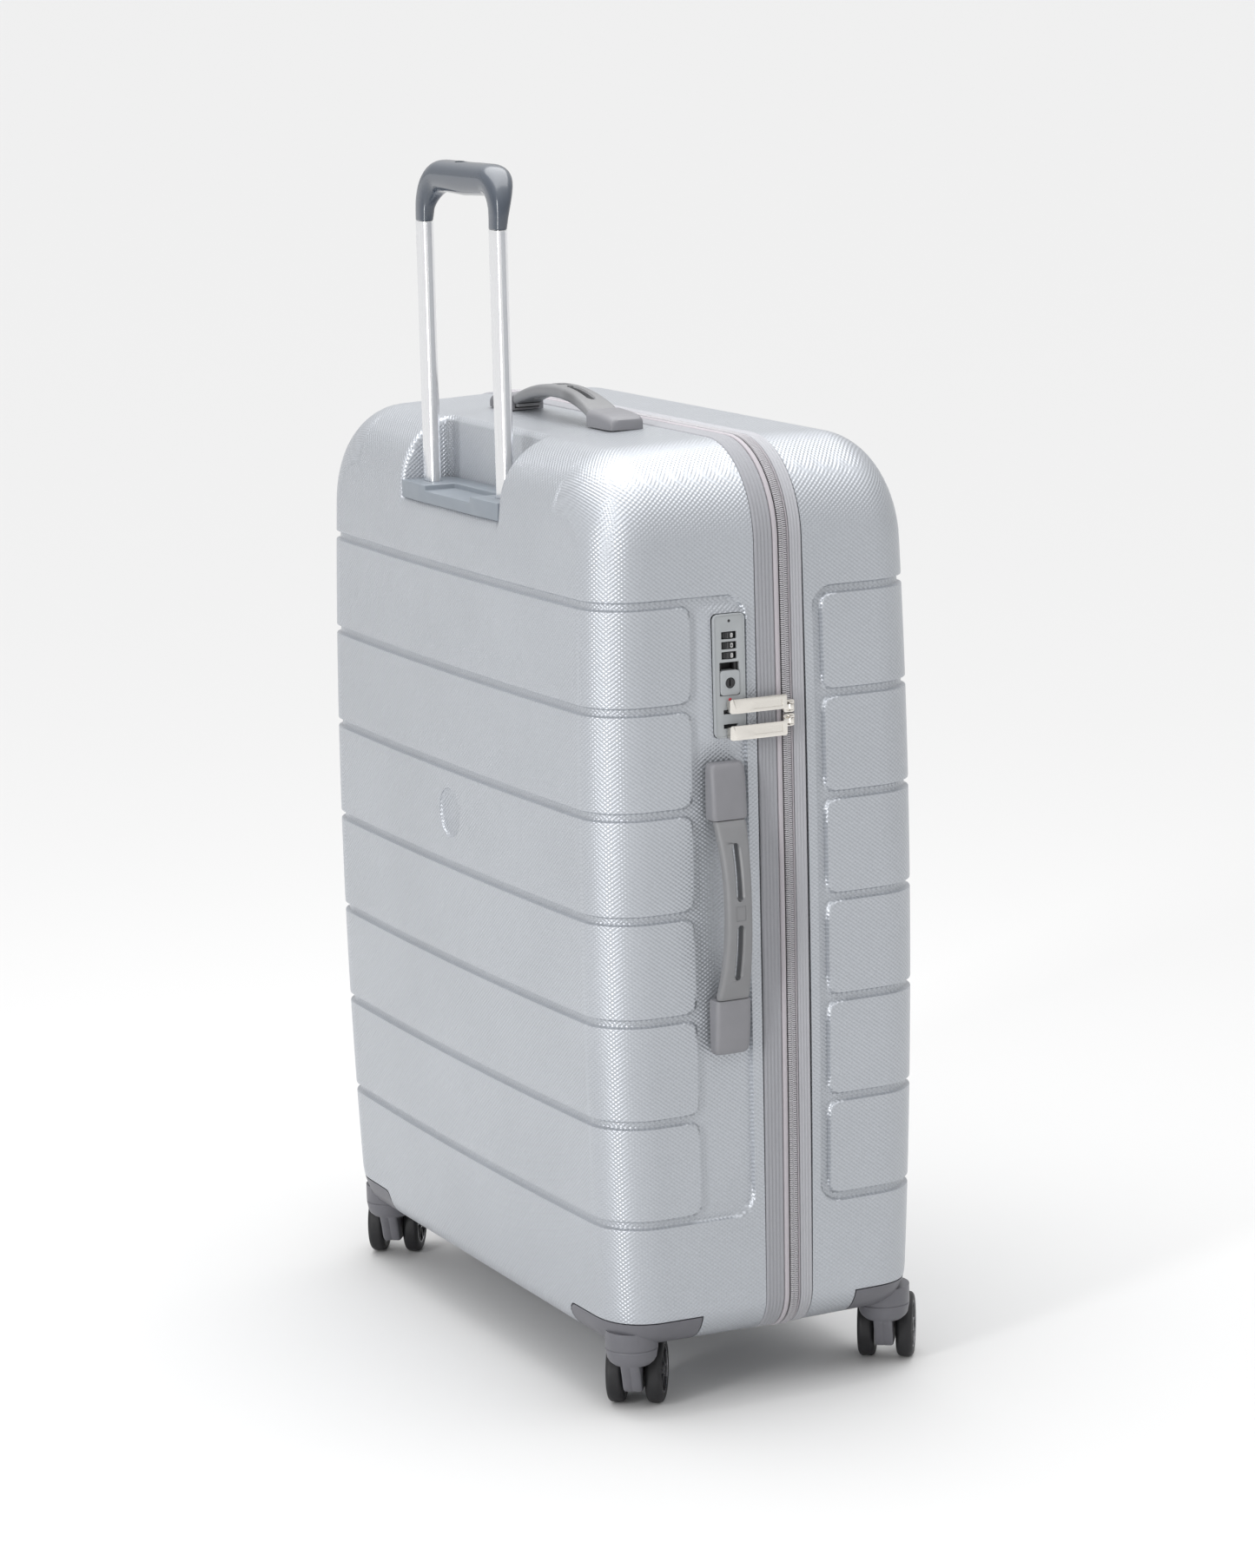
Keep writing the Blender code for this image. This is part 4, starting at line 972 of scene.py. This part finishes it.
def make_grip():
    """The pull handle's moulded grip with its release button."""
    rings = []
    path = grip_path()
    for i, (x, z, angle, growth) in enumerate(path):
        pinch = 0.0006 if i in (0, len(path) - 1) else 0.0
        across = GRIP_LEG[0] + (GRIP_BAR[0] - GRIP_LEG[0]) * growth - pinch
        deep = GRIP_LEG[1] + (GRIP_BAR[1] - GRIP_LEG[1]) * growth - pinch
        middle = TUBE_Y + GRIP_SHIFT * growth
        sag = GRIP_SAG * (1 - abs(x) / TUBE_X)
        power = 2.9 - 0.55 * growth
        normal = (-math.sin(angle), math.cos(angle))
        ring = []
        for k in range(48):
            turn = 2 * PI * (k + 0.5) / 48
            c, d = math.cos(turn), math.sin(turn)
            u = math.copysign(abs(c) ** (2 / power), c) * across
            v = math.copysign(abs(d) ** (2 / power), d) * deep
            drop = sag * float(smooth(-u / across)) if u < 0 else 0.0
            ring.append((x + normal[0] * u, middle + v, z + normal[1] * u - drop))
        rings.append(ring)
    mesh = to_mesh(loft(rings))
    mesh = boolean(mesh, box(
        (-0.0155, BUTTON_Y - 0.0055, GRIP_TOP - 0.0098), (0.0155, BUTTON_Y + 0.0055, GRIP_TOP + 0.01),
        bevel=0.0045, segments=8))
    show("trolley_grip_look", mesh, "trolley", GLOSS, ("trolley_grip",), 40.0)
    top = GRIP_TOP - 0.0006
    bm = box((-0.015, BUTTON_Y - 0.005, top - 0.005), (0.015, BUTTON_Y + 0.005, top),
             bevel=0.0042, segments=8, round_all=0.0010)
    show("grip_button_look", bm, "release", GLOSS, ("grip_button",), 40.0)


def make_tubes():
    """The two telescopic tubes, each with a thin matt grey strip along both narrow sides that paints the
    shade at their edges.
    """
    for tag, side in (("left", -1), ("right", 1)):
        rings = []
        for grow, z in ((0.0, TUBE_BOTTOM), (0.0, TUBE_TOP), (-0.0012, TUBE_TOP), (-0.0012, TUBE_BOTTOM)):
            half = (TUBE[0] / 2 + grow, TUBE[1] / 2 + grow)
            rings.append([
                (side * TUBE_X + x, TUBE_Y + y, z)
                for x, y in rounded_rectangle(half, 0.0030 + grow, 6)])
        mesh = to_mesh(loft(rings, closed=True))
        node = f"trolley_tube_{tag}"
        show(node + "_look", mesh, "trolley", ALUMINIUM, (node,), 50.0)
        # grey strips along the narrow sides: painted shade
        for way in (-1, 1):
            x = side * TUBE_X + way * (TUBE[0] / 2 + 0.00005)
            strip = box(
                (x - 0.0002, TUBE_Y - 0.0018, TUBE_BOTTOM + 0.005),
                (x + 0.0002, TUBE_Y + 0.0018, TUBE_TOP - 0.0004), round_all=0.0001)
            end = "inner" if way * side < 0 else "outer"
            show(f"tube_edge_shade_{tag}_{end}", strip, "trolley", TUBE_EDGE_SHADE)


# ---------------------------------------------------------------- carry handles
def placed(axis):
    """Matrix that puts a carry handle drawn along X on the case's top or side."""
    if axis == "top":
        return Matrix((
            (1, 0, 0, 0), (0, 1, 0, TOP_HANDLE_Y), (0, 0, 1, TOP_HANDLE_Z), (0, 0, 0, 1)))
    return Matrix((
        (0, 0, 1, SIDE_HANDLE_X), (0, -1, 0, SIDE_HANDLE_Y), (1, 0, 0, SIDE_HANDLE_Z), (0, 0, 0, 1)))


def moved(bm, matrix):
    bmesh.ops.transform(bm, matrix=matrix, verts=bm.verts)
    return bm


def handle_section(part):
    """Half width, lower and upper height of a carry grip, from -1 at one end to 1 at the other."""
    wave = 1 - abs(part) ** 2.2
    half = 0.0105 + 0.0028 * part * part
    outer = BLOCK_HEIGHT + (HANDLE_RISE - BLOCK_HEIGHT) * wave
    return half, 0.0045 + 0.0115 * wave, outer - 0.0002


SLOT = (0.009, 0.053)        # a grip's two slots, from its middle
SLOT_HALF = 0.0026


def make_handle(prefix, axis, ends, body):
    """A carry handle: two end blocks and an arched grip with two slots."""
    matrix = placed(axis)
    inner_end = HANDLE_HALF - BLOCK_LENGTH
    for end, side in ends:
        node = f"{prefix}_{end}"
        rings = []
        for s, width, height in (
                (inner_end, 0.0142, 0.0122), (inner_end + 0.0005, 0.0147, 0.0128),
                (inner_end + 0.003, 0.0150, 0.0130), (HANDLE_HALF - 0.022, 0.0150, 0.0122),
                (HANDLE_HALF - 0.011, 0.0150, 0.0110), (HANDLE_HALF - 0.005, 0.0147, 0.0100),
                (HANDLE_HALF - 0.002, 0.0141, 0.0090), (HANDLE_HALF - 0.0005, 0.0130, 0.0078),
                (HANDLE_HALF, 0.0115, 0.0062)):
            ring = [(width, 0.0), (width, height - 0.0045)]
            ring += arc((width - 0.0035, height - 0.0040), (0.0035, 0.0040), 0.0, 6)
            ring += arc((-width + 0.0052, height - 0.0048), (0.0052, 0.0048), PI / 2, 6)
            ring += [(-width, height - 0.0055), (-width, 0.0)]
            rings.append([(side * s, u, v) for u, v in ring])
        mesh = to_mesh(moved(loft(rings), matrix))
        room = sorted((side * (inner_end - 0.01), side * (inner_end + 0.0225)))
        mesh = boolean(mesh, moved(box(
            (room[0], -0.0108, 0.0015), (room[1], 0.0108, 0.0116)), matrix))
        show(node + "_look", mesh, "case", GREY, (node,), 32.0)
    arch = inner_end - 0.0005
    steps = 48
    rings = []
    for i in range(steps + 1):
        part = -1 + 2 * i / steps
        half, low, high = handle_section(part)
        trim = 0.0006 if i in (0, steps) else 0.0
        middle, thick = (low + high) / 2, (high - low) / 2 - trim
        rings.append([
            (arch * part, u, middle + v)
            for u, v in rounded_rectangle((half - trim, thick), min(0.0032, thick * 0.8), 5)])
    mesh = to_mesh(moved(loft(rings), matrix))
    for side in (-1, 1):
        near, far = SLOT
        pair = sorted((side * near, side * far))
        mesh = boolean(mesh, moved(box(
            (pair[0], -SLOT_HALF, -0.01), (pair[1], SLOT_HALF, 0.04),
            bevel=SLOT_HALF * 0.96, segments=8), matrix))
        funnel = []
        for k in range(13):
            x = near + (far - near) * k / 12
            high = handle_section(x / arch)[2]
            wide = SLOT_HALF + 0.0011
            end = min(x - near, far - x)
            wide = wide * math.sqrt(max(1 - max(1 - end / wide, 0.0) ** 2, 0.05))
            funnel.append([
                (side * x, -wide - 0.0006, high + 0.0006), (side * x, wide + 0.0006, high + 0.0006),
                (side * x, wide - 0.0014, high - 0.0016), (side * x, -wide + 0.0014, high - 0.0016)])
        mesh = boolean(mesh, moved(loft(funnel), matrix))
    for side in (-1, 1):
        pair = sorted((side * (arch - 0.004), side * (arch + 0.021)))
        mesh = boolean(mesh, moved(box(
            (pair[0], -0.0100, 0.0028), (pair[1], 0.0100, 0.0052)), matrix), "UNION")
    high = handle_section(0.0)[2]
    mesh = boolean(mesh, moved(box(
        (-0.0058, -0.0042, high - 0.0005), (0.0058, 0.0042, high + 0.002), bevel=0.0009), matrix))
    show(f"{prefix}_grip_look", mesh, body, GREY_LIGHT, (f"{prefix}_grip",), 32.0)


# ---------------------------------------------------------------- lock and zip sliders
DIGIT_STROKES = {              # seven-segment style strokes: (x0, z0, x1, z1) in a unit cell
    "top": (0.15, 0.92, 0.85, 0.92), "middle": (0.15, 0.5, 0.85, 0.5), "bottom": (0.15, 0.08, 0.85, 0.08),
    "upper_left": (0.15, 0.5, 0.15, 0.92), "upper_right": (0.85, 0.5, 0.85, 0.92),
    "lower_left": (0.15, 0.08, 0.15, 0.5), "lower_right": (0.85, 0.08, 0.85, 0.5),
}


def make_dial(index, z):
    """A knurled number wheel: fine teeth round it and one generic figure."""
    sides = 60
    rings = []
    for height, dip in ((-DIAL_HALF, 0.0006), (-DIAL_HALF + 0.0004, 0.0), (DIAL_HALF - 0.0004, 0.0),
                        (DIAL_HALF, 0.0006)):
        ring = []
        for i in range(sides):
            tooth = 0.00045 if i % 3 == 0 else 0.0
            radius = DIAL_RADIUS - 0.0001 - dip - tooth
            ring.append((
                DIAL_X + radius * math.cos(2 * PI * i / sides),
                LOCK_Y + radius * math.sin(2 * PI * i / sides), z + height))
        rings.append(ring)
    node = f"dial_{index}"
    body = body_of(node)
    show(node + "_look", loft(rings), body, DARK, (node,), 25.0)
    bm = bmesh.new()
    wide, tall = 0.0021, 0.0034
    for key, (x0, z0, x1, z1) in DIGIT_STROKES.items():
        if index == 2 and key == "middle":
            continue
        low = (LOCK_Y + 0.0018 + wide * (x0 - 0.5) - 0.00028, z + tall * (z0 - 0.5) - 0.00028)
        high = (LOCK_Y + 0.0018 + wide * (x1 - 0.5) + 0.00028, z + tall * (z1 - 0.5) + 0.00028)
        out = DIAL_X + math.sqrt((DIAL_RADIUS + 0.0001) ** 2 - 0.0018 ** 2)
        stroke = box((out - 0.0008, low[0], low[1]), (out + 0.00005, high[0], high[1]))
        bm.from_mesh(to_mesh(stroke))
    show(f"{node}_figure", bm, body, FIGURE)


def make_lock():
    """The lock's plate, rim, body, slider, key cylinder, dots and dials, and the zip's sliders."""
    half = LOCK_WIDTH / 2
    plate = refined("lock_plate", 0.0005)
    show("lock_plate_look", plate, "case", LOCK_GREY, ("lock_plate",), 40.0)
    rings = []
    for inset, x in ((0.0, LOCK_FACE_X - 0.0002), (0.0002, LOCK_FACE_X + 0.0004),
                     (0.0009, LOCK_FACE_X + 0.0004), (0.0011, LOCK_FACE_X - 0.0002)):
        rings.append([
            (x, LOCK_Y + u, (LOCK_Z[0] + LOCK_Z[1]) / 2 + v)
            for u, v in rounded_rectangle(
                (half - inset, (LOCK_Z[1] - LOCK_Z[0]) / 2 - inset), 0.0038 - inset, 6)])
    show("lock_rim", loft(rings, closed=True), "case", LOCK_GREY)
    show_refined("lock_body", DARK, 0.0004)
    show_refined("lock_slider", LOCK_GREY, 0.0004)
    show_refined("key_cylinder", DARK, 0.0002)
    keyring = turned((LOCK_FACE_X + 0.0006, LOCK_Y, KEY_Z), (1, 0, 0), (
        (0.0042, 0.0), (0.0042, 0.0004), (0.0048, 0.0004), (0.0050, 0.0)), 40, ring=True)
    show("key_ring", keyring, "lock_button", LOCK_GREY)
    for tag, z, radius, look in (("screw_dot", 0.6165, 0.0011, DARK), ("mark_dot", 0.5567, 0.0014, RED)):
        dot = turned((LOCK_FACE_X - 0.0004, LOCK_Y, z), (1, 0, 0), (
            (radius, 0.0), (radius, 0.0005), (radius * 0.7, 0.0007)), 24)
        show(tag, dot, "case", look)
    for index, z in enumerate(DIAL_Z):
        make_dial(index + 1, z)
    for tag, center_z in (("upper", ZIP_PULL_Z[0]), ("lower", ZIP_PULL_Z[1])):
        show_refined(f"zip_slider_{tag}", NICKEL, 0.0003)
        make_pull(tag, center_z)


def make_pull(tag, center_z):
    """A zip pull with a slanted tip and a shallow recess in its bar."""
    face = ZIP_PULL_X + 0.0009
    bm = refined(f"zip_pull_{tag}", 0.00025)
    low = Vector((face, -0.0405, center_z - 0.0055))
    high = Vector((face, -0.0430, center_z + 0.0055))
    tip = Vector((face - 0.0013, -0.0465, center_z))
    normal = (high - low).cross(tip - low).normalized()
    if normal.x < 0:
        normal = -normal
    cut = bmesh.ops.bisect_plane(
        bm, geom=bm.verts[:] + bm.edges[:] + bm.faces[:], dist=1e-6,
        plane_co=low, plane_no=normal, clear_outer=True)
    rim = [e for e in cut["geom_cut"] if isinstance(e, bmesh.types.BMEdge)]
    bmesh.ops.holes_fill(bm, edges=rim, sides=0)
    show(f"zip_pull_{tag}_look", bm, f"pull_{tag}", NICKEL, (f"zip_pull_{tag}",), 40.0)
    inlay = box(
        (face - 0.0013, -0.0262, center_z - 0.0036), (face - 0.0005, CHAIN_Y - 0.0076, center_z + 0.0036))
    show(f"pull_inlay_{tag}", inlay, f"pull_{tag}", NICKEL)


# ---------------------------------------------------------------- casters
def upright(axis, profile, sides=48):
    return turned((*axis, 0), (0, 0, 1), profile, sides)


def make_housing(tag, side, shell, body):
    """A corner cut from the case's own skin, with a neck, a bearing boss and a hollow for the fork's cup."""
    sign = shell["sign"]
    outer = surface(shell, shell["rim"], 0.0, False)[0]
    mesh = boolean(outer, caster_corner(side, sign, 0.0), "INTERSECT")
    axis = (side * AXIS_X, AXIS_Y[sign])
    neck = upright(axis, (
        (CUP_RADIUS - 0.0003, CUP_TOP), (CUP_RADIUS, CUP_TOP + 0.0006), (CUP_RADIUS, NECK_TOP)), 64)
    mesh = boolean(mesh, neck, "UNION")
    inner = surface(shell, shell["rim"] - 0.01, HOUSING_WALL, False)[0]
    mesh = boolean(mesh, inner)
    mesh = boolean(mesh, upright(axis, ((0.0125, 0.0545), (0.0125, 0.0765))), "UNION")
    mesh = boolean(mesh, upright(axis, ((STEM_BORE, 0.03), (STEM_BORE, 0.072))))
    mesh = boolean(mesh, upright(axis, ((0.0235, 0.04), (0.0225, CUP_TOP + GAP))))
    node = f"caster_housing_{tag}"
    show(node + "_look", mesh, body, CASTER_GREY, (node,), 35.0)


def smooth_loop(points, steps=5):
    """A closed Catmull-Rom curve through (t, z) points."""
    out = []
    count = len(points)
    for i in range(count):
        p0, p1, p2, p3 = (Vector(points[(i + k - 1) % count]) for k in range(4))
        for s in range(steps):
            t = s / steps
            out.append(0.5 * (
                2 * p1 + (p2 - p0) * t + (2 * p0 - 5 * p1 + 4 * p2 - p3) * t * t
                + (3 * p1 - p0 - 3 * p2 + p3) * t ** 3))
    return out


FORK_OUTLINE = (
    (-0.0150, 0.0460), (-0.0085, 0.0300), (-0.0020, 0.0185), (0.0060, 0.0150),
    (0.0300, 0.0160), (0.0355, 0.0235), (0.0340, 0.0340), (0.0190, 0.0475),
)


def make_fork(tag, axis, trail, across, axle_at, body):
    """A swivelling fork: a cup under the housing, a plate between the wheels and a stem."""
    cup = upright(axis, (
        (0.0150, CUP_BOTTOM - 0.0035), (0.0178, CUP_BOTTOM - 0.001), (0.0192, CUP_BOTTOM + 0.0015),
        (CUP_RADIUS - 0.0004, CUP_TOP - 0.003), (CUP_RADIUS, CUP_TOP - 0.001),
        (CUP_RADIUS - 0.0006, CUP_TOP)), 64)
    loop = smooth_loop(FORK_OUTLINE)
    center = sum(loop, Vector((0, 0))) / len(loop)
    rings = []
    for shift, shrink in ((-0.0072, 0.93), (-0.0066, 0.975), (-0.0054, 1.0), (-0.0006, 1.0),
                          (-0.0002, 0.985), (0.0002, 0.985), (0.0006, 1.0), (0.0054, 1.0),
                          (0.0066, 0.975), (0.0072, 0.93)):
        ring = []
        for point in loop:
            at = center + (point - center) * shrink
            ring.append(Vector((*axis, at.y)) + trail * at.x + across * shift)
        rings.append(ring)
    mesh = boolean(cup, loft(rings), "UNION")
    for way in (-1, 1):
        mesh = boolean(mesh, turned(axle_at, across * way, (
            (WHEEL_RADIUS + 0.0012, 0.0079), (WHEEL_RADIUS + 0.0012, 0.030)), 64))
    mesh = boolean(mesh, upright(axis, ((STEM, CUP_TOP - 0.002), (STEM, 0.070)), 24), "UNION")
    node = f"caster_fork_{tag}"
    show(node + "_look", mesh, body, CASTER_GREY, (node,), 35.0)
    repaint(f"caster_axle_{tag}", STEEL)


def make_wheel(node, axle_at, across, way):
    """Tyre with rounded shoulders on a dished hub with spokes."""
    body = body_of(node)
    near, far = WHEEL_INNER, WHEEL_INNER + WHEEL_WIDTH
    direction = across * way
    tread = WHEEL_RADIUS - 0.0001
    bore = 0.0188
    shoulder = (0.0042, 0.0040)
    loop = [(bore, near + 0.0004)]
    loop += arc((tread - shoulder[0], near + shoulder[1]), shoulder, -PI / 2, 8)
    loop += arc((tread - shoulder[0], far - shoulder[1]), shoulder, 0.0, 8)
    loop.append((bore, far - 0.0004))
    tyre = turned(axle_at, direction, loop, 72, ring=True)
    show(node + "_tyre", tyre, body, TYRE, (node,), 50.0)
    dish = [
        (0.0029, near + 0.0008), (bore + 0.0001, near + 0.0008), (bore + 0.0001, far - 0.0008),
        (bore - 0.0012, far - 0.0008), (bore - 0.0016, far - 0.0024), (0.0062, far - 0.0030),
        (0.0056, far - 0.0006), (0.0029, far - 0.0002)]
    bm = turned(axle_at, direction, dish, 72, ring=True)
    turn = Vector((0, 0, 1)).rotation_difference(direction).to_matrix()
    spokes = 10
    for i in range(spokes):
        angle = 2 * PI * i / spokes
        spoke = box((0.0050, -0.0007, far - 0.0036), (bore - 0.0009, 0.0007, far - 0.0011), round_all=0.0003)
        spin = Matrix.Rotation(angle, 3, "Z")
        for vert in spoke.verts:
            vert.co = axle_at + turn @ (spin @ vert.co)
        bm.from_mesh(to_mesh(spoke))
    show(node + "_hub", bm, body, HUB, (), 35.0)
    for tag, radius in (("outer", bore - 0.0006), ("inner", 0.0052)):
        ring = turned(axle_at, direction, (
            (radius - 0.00035, far - 0.0009), (radius - 0.0002, far - 0.0005),
            (radius + 0.0002, far - 0.0005), (radius + 0.00035, far - 0.0009)), 64, ring=True)
        show(f"{node}_{tag}_ring", ring, body, RING, (), 35.0)


def make_casters():
    trail = Vector((math.cos(TRAIL_ANGLE), math.sin(TRAIL_ANGLE), 0))
    across = Vector((math.sin(TRAIL_ANGLE), -math.cos(TRAIL_ANGLE), 0))
    for tag, side, shell in (("back_left", -1, BACK), ("back_right", 1, BACK),
                             ("front_left", -1, LID), ("front_right", 1, LID)):
        axis = (side * AXIS_X, AXIS_Y[shell["sign"]])
        axle_at = Vector((*axis, AXLE_Z)) + trail * TRAIL
        make_housing(tag, side, shell, "case" if shell is BACK else "lid")
        make_fork(tag, axis, trail, across, axle_at, f"swivel_{tag}")
        for name, way in (("a", -1), ("b", 1)):
            make_wheel(f"wheel_{tag}_{name}", axle_at, across, way)


# ---------------------------------------------------------------- inside
def make_linings():
    """Cloth linings: the CAD linings cut finely, rounded and left slack over their panels."""
    cuts = ((0, -0.25, 0.25, 0.0125), (2, 0.07, 0.735, 0.0125), (1, -0.11, 0.11, 0.02))
    for name, sign, reach in (
            ("back_lining", -1, LINING_FLOOR), ("front_lining", 1, LID["depth"] - 0.0052)):
        bm = refined(name, 0.0015)
        for axis, low, high, step in cuts:
            normal = Vector((float(axis == 0), float(axis == 1), float(axis == 2)))
            for at in np.arange(low, high, step):
                bmesh.ops.bisect_plane(
                    bm, geom=bm.verts[:] + bm.edges[:] + bm.faces[:], dist=1e-6,
                    plane_co=normal * float(at), plane_no=normal)
        for vert in bm.verts:
            x, y, z = vert.co
            on_panel = float(smooth((sign * y - reach + 0.012) / 0.008))
            fade = float(smooth((0.235 - abs(x)) / 0.05) * smooth((0.335 - abs(z - MIDDLE)) / 0.05))
            slack = 0.45 + 0.30 * math.sin(19 * x + 6 * z) * math.sin(13 * z - 5 * x + 1.1)
            slack += 0.25 * math.sin(47 * (x + 0.6 * z)) * math.sin(29 * (z - 0.5 * x))
            vert.co.y += sign * 0.0012 * slack * on_panel * fade
        show(name + "_look", bm, body_of(name), LINING_LOOK, (name,), 60.0)


def make_interior():
    """Packing straps with their buckle, and the lid's gathered pocket with its hem."""
    floor = -(LINING_FLOOR - LINING)
    for tag, side in (("left", -1), ("right", 1)):
        rows = []
        for k in range(61):
            part = k / 60
            x = side * (0.0335 + (0.2130 - 0.0335) * part)
            lift = 0.0007 + 0.0022 * math.sin(PI * part)
            across = [-1 + 2 * i / 12 for i in range(13)]
            rows.append([
                (x, floor + lift + 0.0003 * math.cos(6 * PI * v), MIDDLE + 0.0125 * v) for v in across])
        node = f"packing_strap_{tag}"
        strap = show(node + "_look", sheet(rows, 0.0009), "case", WEBBING, (node,), 45.0)
    show_refined("strap_buckle", DARK, 0.0015)
    lid_floor = LID["depth"] + 0.0012 - LINING_OFFSET - LINING
    top, bottom, half = 0.420, 0.125, 0.175
    rows = []
    for k in range(49):
        v = k / 48
        row = []
        for i in range(61):
            u = i / 60
            puff = (math.sin(PI * u) * math.sin(PI * v)) ** 0.35
            gather = 0.0008 * math.sin(34 * PI * u) * v ** 3
            wrinkle = 0.0006 * math.sin(9 * u + 5 * v) * math.sin(7 * v - 3 * u + 1)
            y = lid_floor - GAP - 0.0006 - (0.0034 * puff + gather + wrinkle) * min(8 * puff, 1)
            row.append((half * (2 * u - 1), y, bottom + (top - bottom) * v))
        rows.append(row)
    pocket = show(
        "lid_pocket_look", sheet(rows, -0.0008), "lid", LINING_LOOK, ("lid_pocket",), 60.0)
    hem = box(
        (-half, lid_floor - 0.0036, top - 0.010), (half, lid_floor - 0.0005, top + 0.002),
        round_all=0.0009)
    show("pocket_hem", hem, "lid", WEBBING)


# ---------------------------------------------------------------- scene
CAMERA_AT = Vector((3.1809, -1.5655, 1.1370))
CAMERA_YAW = 1.11258
CAMERA_PITCH = 0.19326
CAMERA_ROLL = 0.02373
CAMERA_LENS = 102.26


def make_camera():
    """The camera at the viewing angle, held level but for a slight roll."""
    forward = Vector((
        -math.sin(CAMERA_YAW) * math.cos(CAMERA_PITCH),
        math.cos(CAMERA_YAW) * math.cos(CAMERA_PITCH), -math.sin(CAMERA_PITCH)))
    right = Vector((math.cos(CAMERA_YAW), math.sin(CAMERA_YAW), 0))
    down = forward.cross(right)
    right_rolled = right * math.cos(CAMERA_ROLL) + down * math.sin(CAMERA_ROLL)
    up_rolled = right * math.sin(CAMERA_ROLL) - down * math.cos(CAMERA_ROLL)
    data = bpy.data.cameras.new("camera")
    data.sensor_fit = "VERTICAL"
    data.sensor_height = 36.0
    data.sensor_width = 36.0
    data.lens = CAMERA_LENS
    data.clip_end = 500.0
    camera = bpy.data.objects.new("camera", data)
    turn = Matrix((right_rolled, up_rolled, -forward)).transposed().to_4x4()
    camera.matrix_world = Matrix.Translation(CAMERA_AT + SHIFT) @ turn
    bpy.context.scene.collection.objects.link(camera)
    bpy.context.scene.camera = camera


def add_light(name, location, size, power):
    """A rectangular area light aimed at the middle of the case."""
    data = bpy.data.lights.new(name, "AREA")
    data.shape = "RECTANGLE"
    data.size, data.size_y = size
    data.energy = power
    light = bpy.data.objects.new(name, data)
    light.location = location
    toward = Vector((0.0, 0.0, 0.42)) - Vector(location)
    light.rotation_euler = toward.to_track_quat("-Z", "Y").to_euler()
    bpy.context.scene.collection.objects.link(light)


FLOOR_SIZE = 150.0
SKY_HORIZON = 0.53
SKY_ZENITH = 2.40


def make_stage():
    """A pale floor, a soft sky that brightens upward, and two area lights."""
    bm = bmesh.new()
    bmesh.ops.create_grid(bm, x_segments=8, y_segments=8, size=FLOOR_SIZE)
    mesh = bpy.data.meshes.new("floor")
    bm.to_mesh(mesh)
    bm.free()
    floor = bpy.data.objects.new("floor", mesh)
    floor.location.z = -0.0004
    bpy.context.scene.collection.objects.link(floor)
    look = Look("floor", (0.68, 0.68, 0.68), 0.9)
    look.tint(look.noise(3.0, 2.0), 0.998, 1.002)
    mesh.materials.append(look.material)
    world = bpy.data.worlds.new("studio")
    world.use_nodes = True
    tree = world.node_tree
    sky = tree.nodes["Background"]
    sky.inputs["Color"].default_value = (1.0, 1.0, 1.0, 1.0)
    split = tree.nodes.new("ShaderNodeSeparateXYZ")
    tree.links.new(tree.nodes.new("ShaderNodeTexCoord").outputs["Generated"], split.inputs[0])
    height = tree.nodes.new("ShaderNodeMath")
    height.operation = "MAXIMUM"
    tree.links.new(split.outputs["Z"], height.inputs[0])
    height.inputs[1].default_value = 0.0
    curve = tree.nodes.new("ShaderNodeMath")
    curve.operation = "POWER"
    tree.links.new(height.outputs[0], curve.inputs[0])
    curve.inputs[1].default_value = 3.0
    ramp = tree.nodes.new("ShaderNodeMapRange")
    tree.links.new(curve.outputs[0], ramp.inputs["Value"])
    ramp.inputs["To Min"].default_value = SKY_HORIZON
    ramp.inputs["To Max"].default_value = SKY_ZENITH
    tree.links.new(ramp.outputs["Result"], sky.inputs["Strength"])
    bpy.context.scene.world = world
    bpy.context.scene.view_settings.view_transform = "Standard"
    add_light("key", (1.6, -3.3, 1.3), (0.42, 2.8), 60)
    add_light("top", (-0.1, 0.0, 1.6), (1.2, 1.0), 7.5)


def main():
    make_shell("back_shell_look", BACK, HOLLOW[0], "case", "back_shell")
    make_shell("lid_shell_look", LID, HOLLOW[1], "lid", "front_shell")
    make_zip()
    make_grip()
    make_tubes()
    for tag in ("left", "right"):
        repaint(f"guide_tube_{tag}", ALUMINIUM)
        repaint(f"tube_plug_{tag}", DARK)
        repaint(f"release_rod_{tag}", STEEL)
    repaint("guide_foot", DARK)
    show_refined("trolley_tray", TRAY_GREY, 0.0008)
    make_handle("top_handle", "top", (("end_left", -1), ("end_right", 1)), "top_grip")
    make_handle("side_handle", "side", (("end_lower", -1), ("end_upper", 1)), "side_grip")
    make_lock()
    make_casters()
    make_linings()
    make_interior()
    make_camera()
    make_stage()


main()
